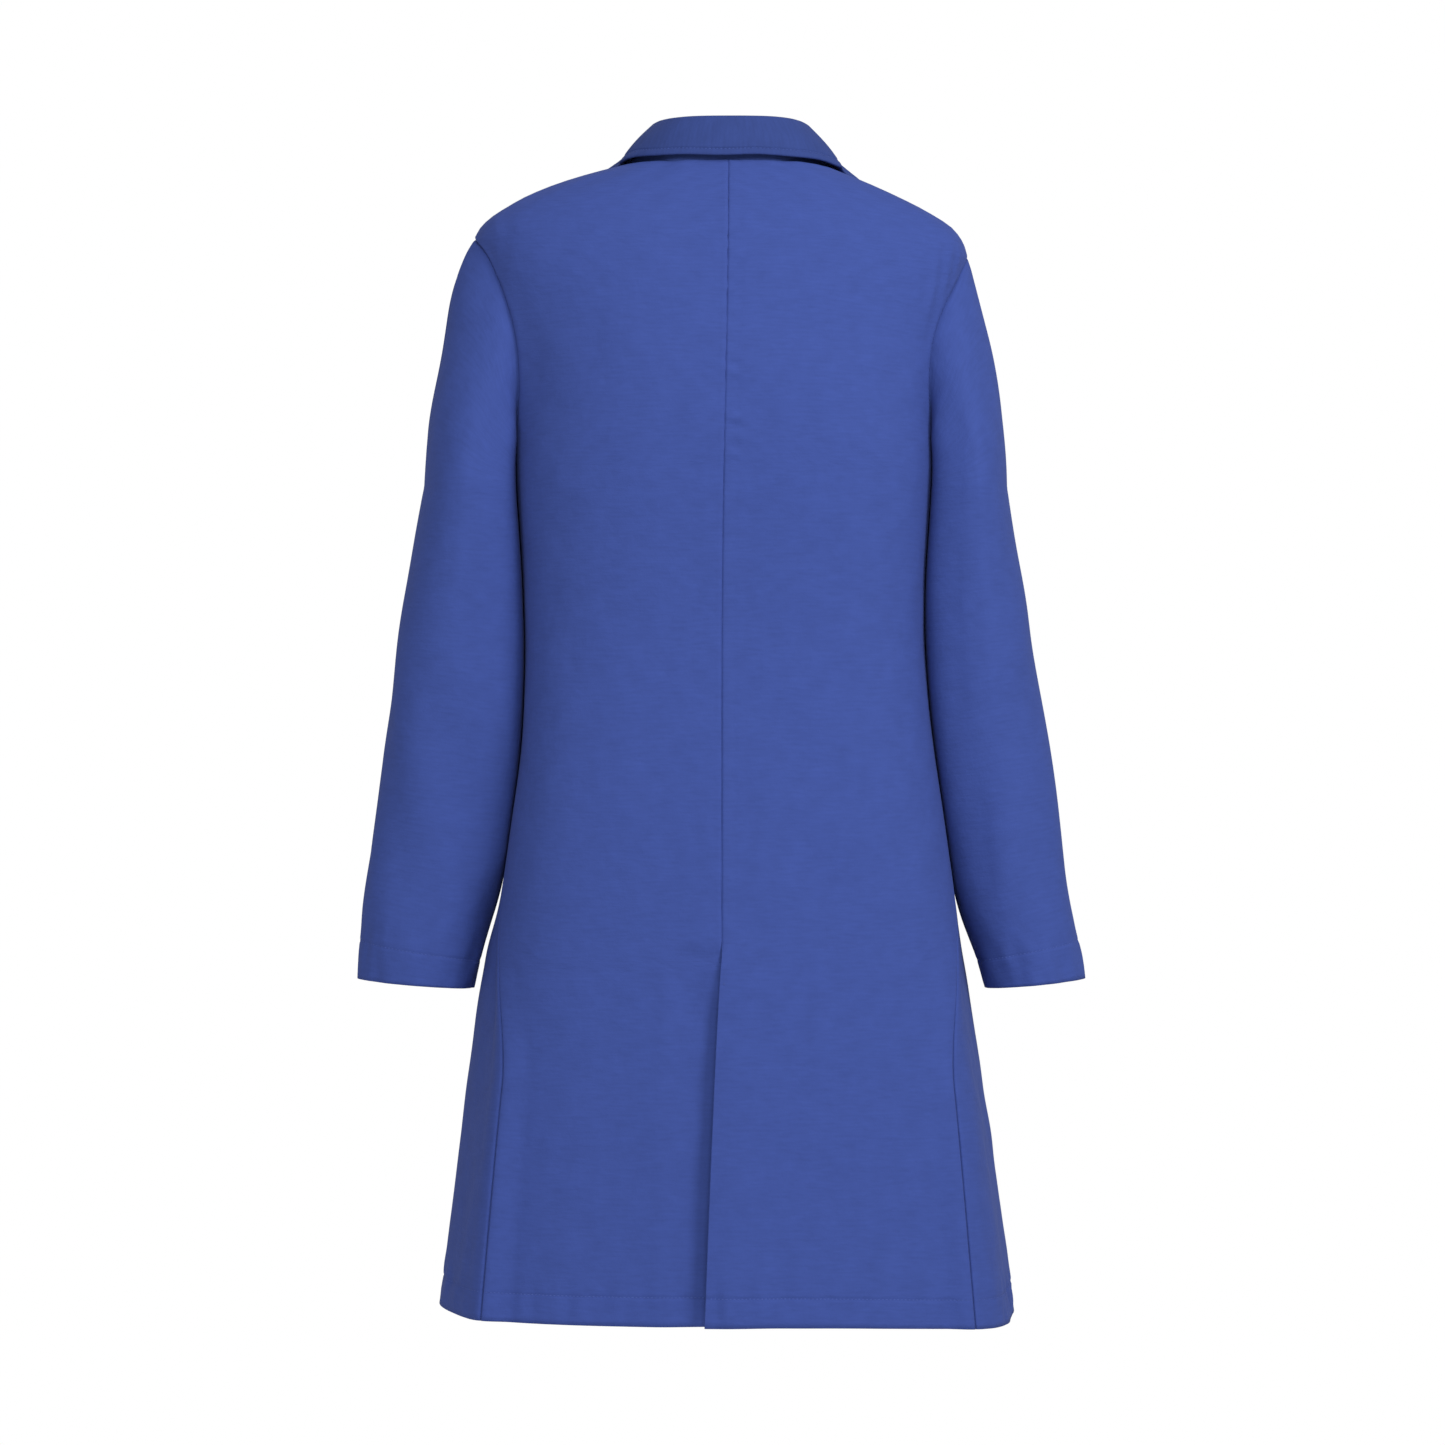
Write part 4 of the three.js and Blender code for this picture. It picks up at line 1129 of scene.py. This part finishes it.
def sleeves():
    for side, word in ((1, "left"), (-1, "right")):
        surface = sleeve_surface(side)
        length = SLEEVE_HEAD_LENGTH + SLEEVE_TOP - CUFF_HEIGHT
        stretches = [[-1], np.linspace(0, 6, 9), np.linspace(6, 16, 7), np.linspace(16, length, 165)[1:]]
        vs = np.unique(np.concatenate(stretches))
        vs = close_to(vs, [length - CUFF_HEM], 3, 1.2)
        vs = np.concatenate([vs, length + np.array([0.5, 1.2, 3, 8, 16, CUFF_HEM - 2, CUFF_HEM])])
        turns = np.linspace(0, 2 * math.pi, 145)[:-1]
        points = sample(surface, turns, vs)
        centre = points.mean(axis=1, keepdims=True)
        sleeve = cloth(f"sleeve_{word}_cloth", points, centre, coat_cloth, wraps=True)
        ring = np.linspace(0, 2 * math.pi, 160)
        line = surface(ring, np.full_like(ring, length - CUFF_HEM))
        out = unit(line - line.mean(axis=0))
        sewing = stitches(f"sleeve_{word}_stitches", [(line, out)], thread)
        for piece in (sleeve, sewing):
            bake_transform(piece)
        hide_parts(f"sleeve_{word}_head", f"sleeve_{word}_bend", f"sleeve_{word}")


# -------- pockets, label and loop

# Each pocket: side, inner x, outer x at the top and at the bottom, top, bottom and belly.
POCKETS = {
    "pocket_left": (1, 82, 172, 186, -505, -685, 14),
    "pocket_right": (-1, 82, 172, 186, -505, -685, 14),
    "chest_pocket": (1, 66, 148, 146, -228, -346, 11),
}
POCKET_HEM = 22


def pockets():
    for name, (side, inner, outer_top, outer_bottom, top, bottom, belly) in POCKETS.items():

        def surface(
            u, v, side=side, inner=inner, ot=outer_top, ob=outer_bottom, top=top, bottom=bottom, belly=belly
        ):
            past = np.maximum(v - top, 0)
            z = np.minimum(v, top - np.maximum(past - 0.6, 0))
            up = clamp01((z - bottom) / (top - bottom))
            stand = 1.4 + belly * np.sin(math.pi * clamp01(u)) ** 0.7 * np.sin(math.pi / 2 * up) ** 0.6
            stand = stand - 1.4 * smooth(past / 1.6) - 0.35 * bump(z - (top - POCKET_HEM), 1.4)
            x = lerp(inner, lerp(ob, ot, up), u)
            return on_front(side, x, z, stand)

        hem = top + np.array([0.5, 1.2, 3, 10, POCKET_HEM])
        rows = np.concatenate([np.linspace(bottom, top, 60), hem])[::-1]
        points = sample(surface, edge_columns(44), rows)
        patch = cloth(name + "_cloth", points, axis_of(points), coat_cloth)
        zs = np.linspace(bottom + 3, top - 2, 60)
        us = np.linspace(0.02, 0.98, 60)
        lines = [
            line_on(surface, 0.03, zs),
            line_on(surface, 0.97, zs),
            line_on(surface, us, bottom + 3),
            line_on(surface, us, top - POCKET_HEM),
        ]
        sewing = stitches(name + "_stitches", lines, thread)
        for piece in (patch, sewing):
            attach(piece, "torso")
        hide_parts(name)


def neck_fittings():
    def facing_surface(angle, z):
        return leaned(body_point(angle, z, np.full_like(angle, -2.2)))

    angles = np.linspace(math.radians(28), math.radians(152), 90)
    points = sample(facing_surface, angles, np.linspace(-1, -50, 24))
    facing = cloth("neck_facing_cloth", points, axis_of(points), facing_cloth)
    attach(facing, "torso")
    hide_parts("back_neck_facing")

    def label_surface(x, z):
        return body_point(angle_at(x, z, True), z, np.full_like(x, -3.2))

    points = sample(label_surface, np.linspace(-20, 20, 20), np.linspace(-24, -44, 12))
    label = cloth("neck_label_cloth", points, axis_of(points), label_cloth, 0.4)
    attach(label, "torso")
    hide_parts("neck_label")

    def loop_surface(u, v):
        x = lerp(-30.0, 30.0, u)
        sag = 16 * (1 - (2 * u - 1) ** 4)
        top = np.full_like(x, -4.0)
        behind = on_body(angle_at(x, top, True), top)[..., 1] - back_depth(-4.0)
        face = back_depth(-4.0) - 2 - 0.8 - 1.2
        return np.stack([x, face + behind * 1.1, -4 - sag * 0.6 - v * 6], axis=-1)

    points = sample(loop_surface, np.linspace(0, 1, 50), np.linspace(0, 1, 6))
    loop = cloth("hanger_loop_cloth", points, axis_of(points), tape_cloth, 1.0)
    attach(loop, "loop")
    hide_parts("hanger_loop")


def snaps():
    for name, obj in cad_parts.items():
        if name.startswith("snap_"):
            material = snap_enamel if name.startswith("snap_cap") else snap_steel
            obj.data.materials.clear()
            obj.data.materials.append(material)


# -------- floor, light and camera

MIDDLE = (0, 0, -0.45)


def area_light(name, place, size, energy):
    light = bpy.data.lights.new(name, "AREA")
    light.shape = "RECTANGLE"
    light.size = light.size_y = size
    light.energy = energy
    obj = bpy.data.objects.new(name, light)
    bpy.context.scene.collection.objects.link(obj)
    obj.location = place
    obj.rotation_mode = "QUATERNION"
    obj.rotation_quaternion = (Vector(MIDDLE) - Vector(place)).to_track_quat("-Z", "Y")
    return obj


AMBIENT = 0.45
FLOOR_HALF = 3.2
FLOOR_HEIGHT = -1.75
CAMERA_PLACE = (0.0047, 3.5, -0.476)
CAMERA_LENS = 101.4
# Each soft box: place, width and power. All of them face the middle of the coat.
SOFT_BOXES = {
    "key": ((-2.2, 2.2, 1.5), 1.2, 84),
    "front": ((-0.1, 3.2, 1.6), 1.6, 76),
    "side": ((2.4, 2.6, -1.2), 1.2, 14),
}


def studio():
    scene = bpy.context.scene
    world = bpy.data.worlds.new("studio")
    world.use_nodes = True
    nodes, links = world.node_tree.nodes, world.node_tree.links
    backdrop = nodes["Background"]
    backdrop.inputs["Color"].default_value = (1, 1, 1, 1)
    backdrop.inputs["Strength"].default_value = 1.0
    fill = add_node(nodes, "Background", Color=(1, 1, 1, 1), Strength=AMBIENT)
    seen = nodes.new("ShaderNodeLightPath")
    mix = nodes.new("ShaderNodeMixShader")
    links.new(seen.outputs["Is Camera Ray"], mix.inputs[0])
    links.new(fill.outputs[0], mix.inputs[1])
    links.new(backdrop.outputs[0], mix.inputs[2])
    links.new(mix.outputs[0], nodes["World Output"].inputs["Surface"])
    scene.world = world
    scene.view_settings.view_transform = "Standard"

    corners = [(-1, -1), (1, -1), (1, 1), (-1, 1)]
    floor_mesh = bpy.data.meshes.new("floor")
    floor_mesh.from_pydata(
        [(x * FLOOR_HALF, y * FLOOR_HALF, FLOOR_HEIGHT) for x, y in corners], [], [(0, 1, 2, 3)]
    )
    material, nodes, links, shader = node_material("floor")
    shader.inputs["Base Color"].default_value = (0.85, 0.85, 0.85, 1)
    shader.inputs["Roughness"].default_value = 0.9
    floor_mesh.materials.append(material)
    floor = bpy.data.objects.new("floor", floor_mesh)
    scene.collection.objects.link(floor)

    boxes = [
        area_light(name, place, size, power)
        for name, (place, size, power) in SOFT_BOXES.items()
    ]

    camera = bpy.data.cameras.new("camera")
    camera.sensor_width = 36
    camera.lens = CAMERA_LENS
    obj = bpy.data.objects.new("camera", camera)
    scene.collection.objects.link(obj)
    obj.location = CAMERA_PLACE
    obj.rotation_euler = (math.radians(90), 0, math.radians(180))
    scene.camera = obj


back()
front()
lapels()
collar()
sleeves()
pockets()
neck_fittings()
snaps()
studio()
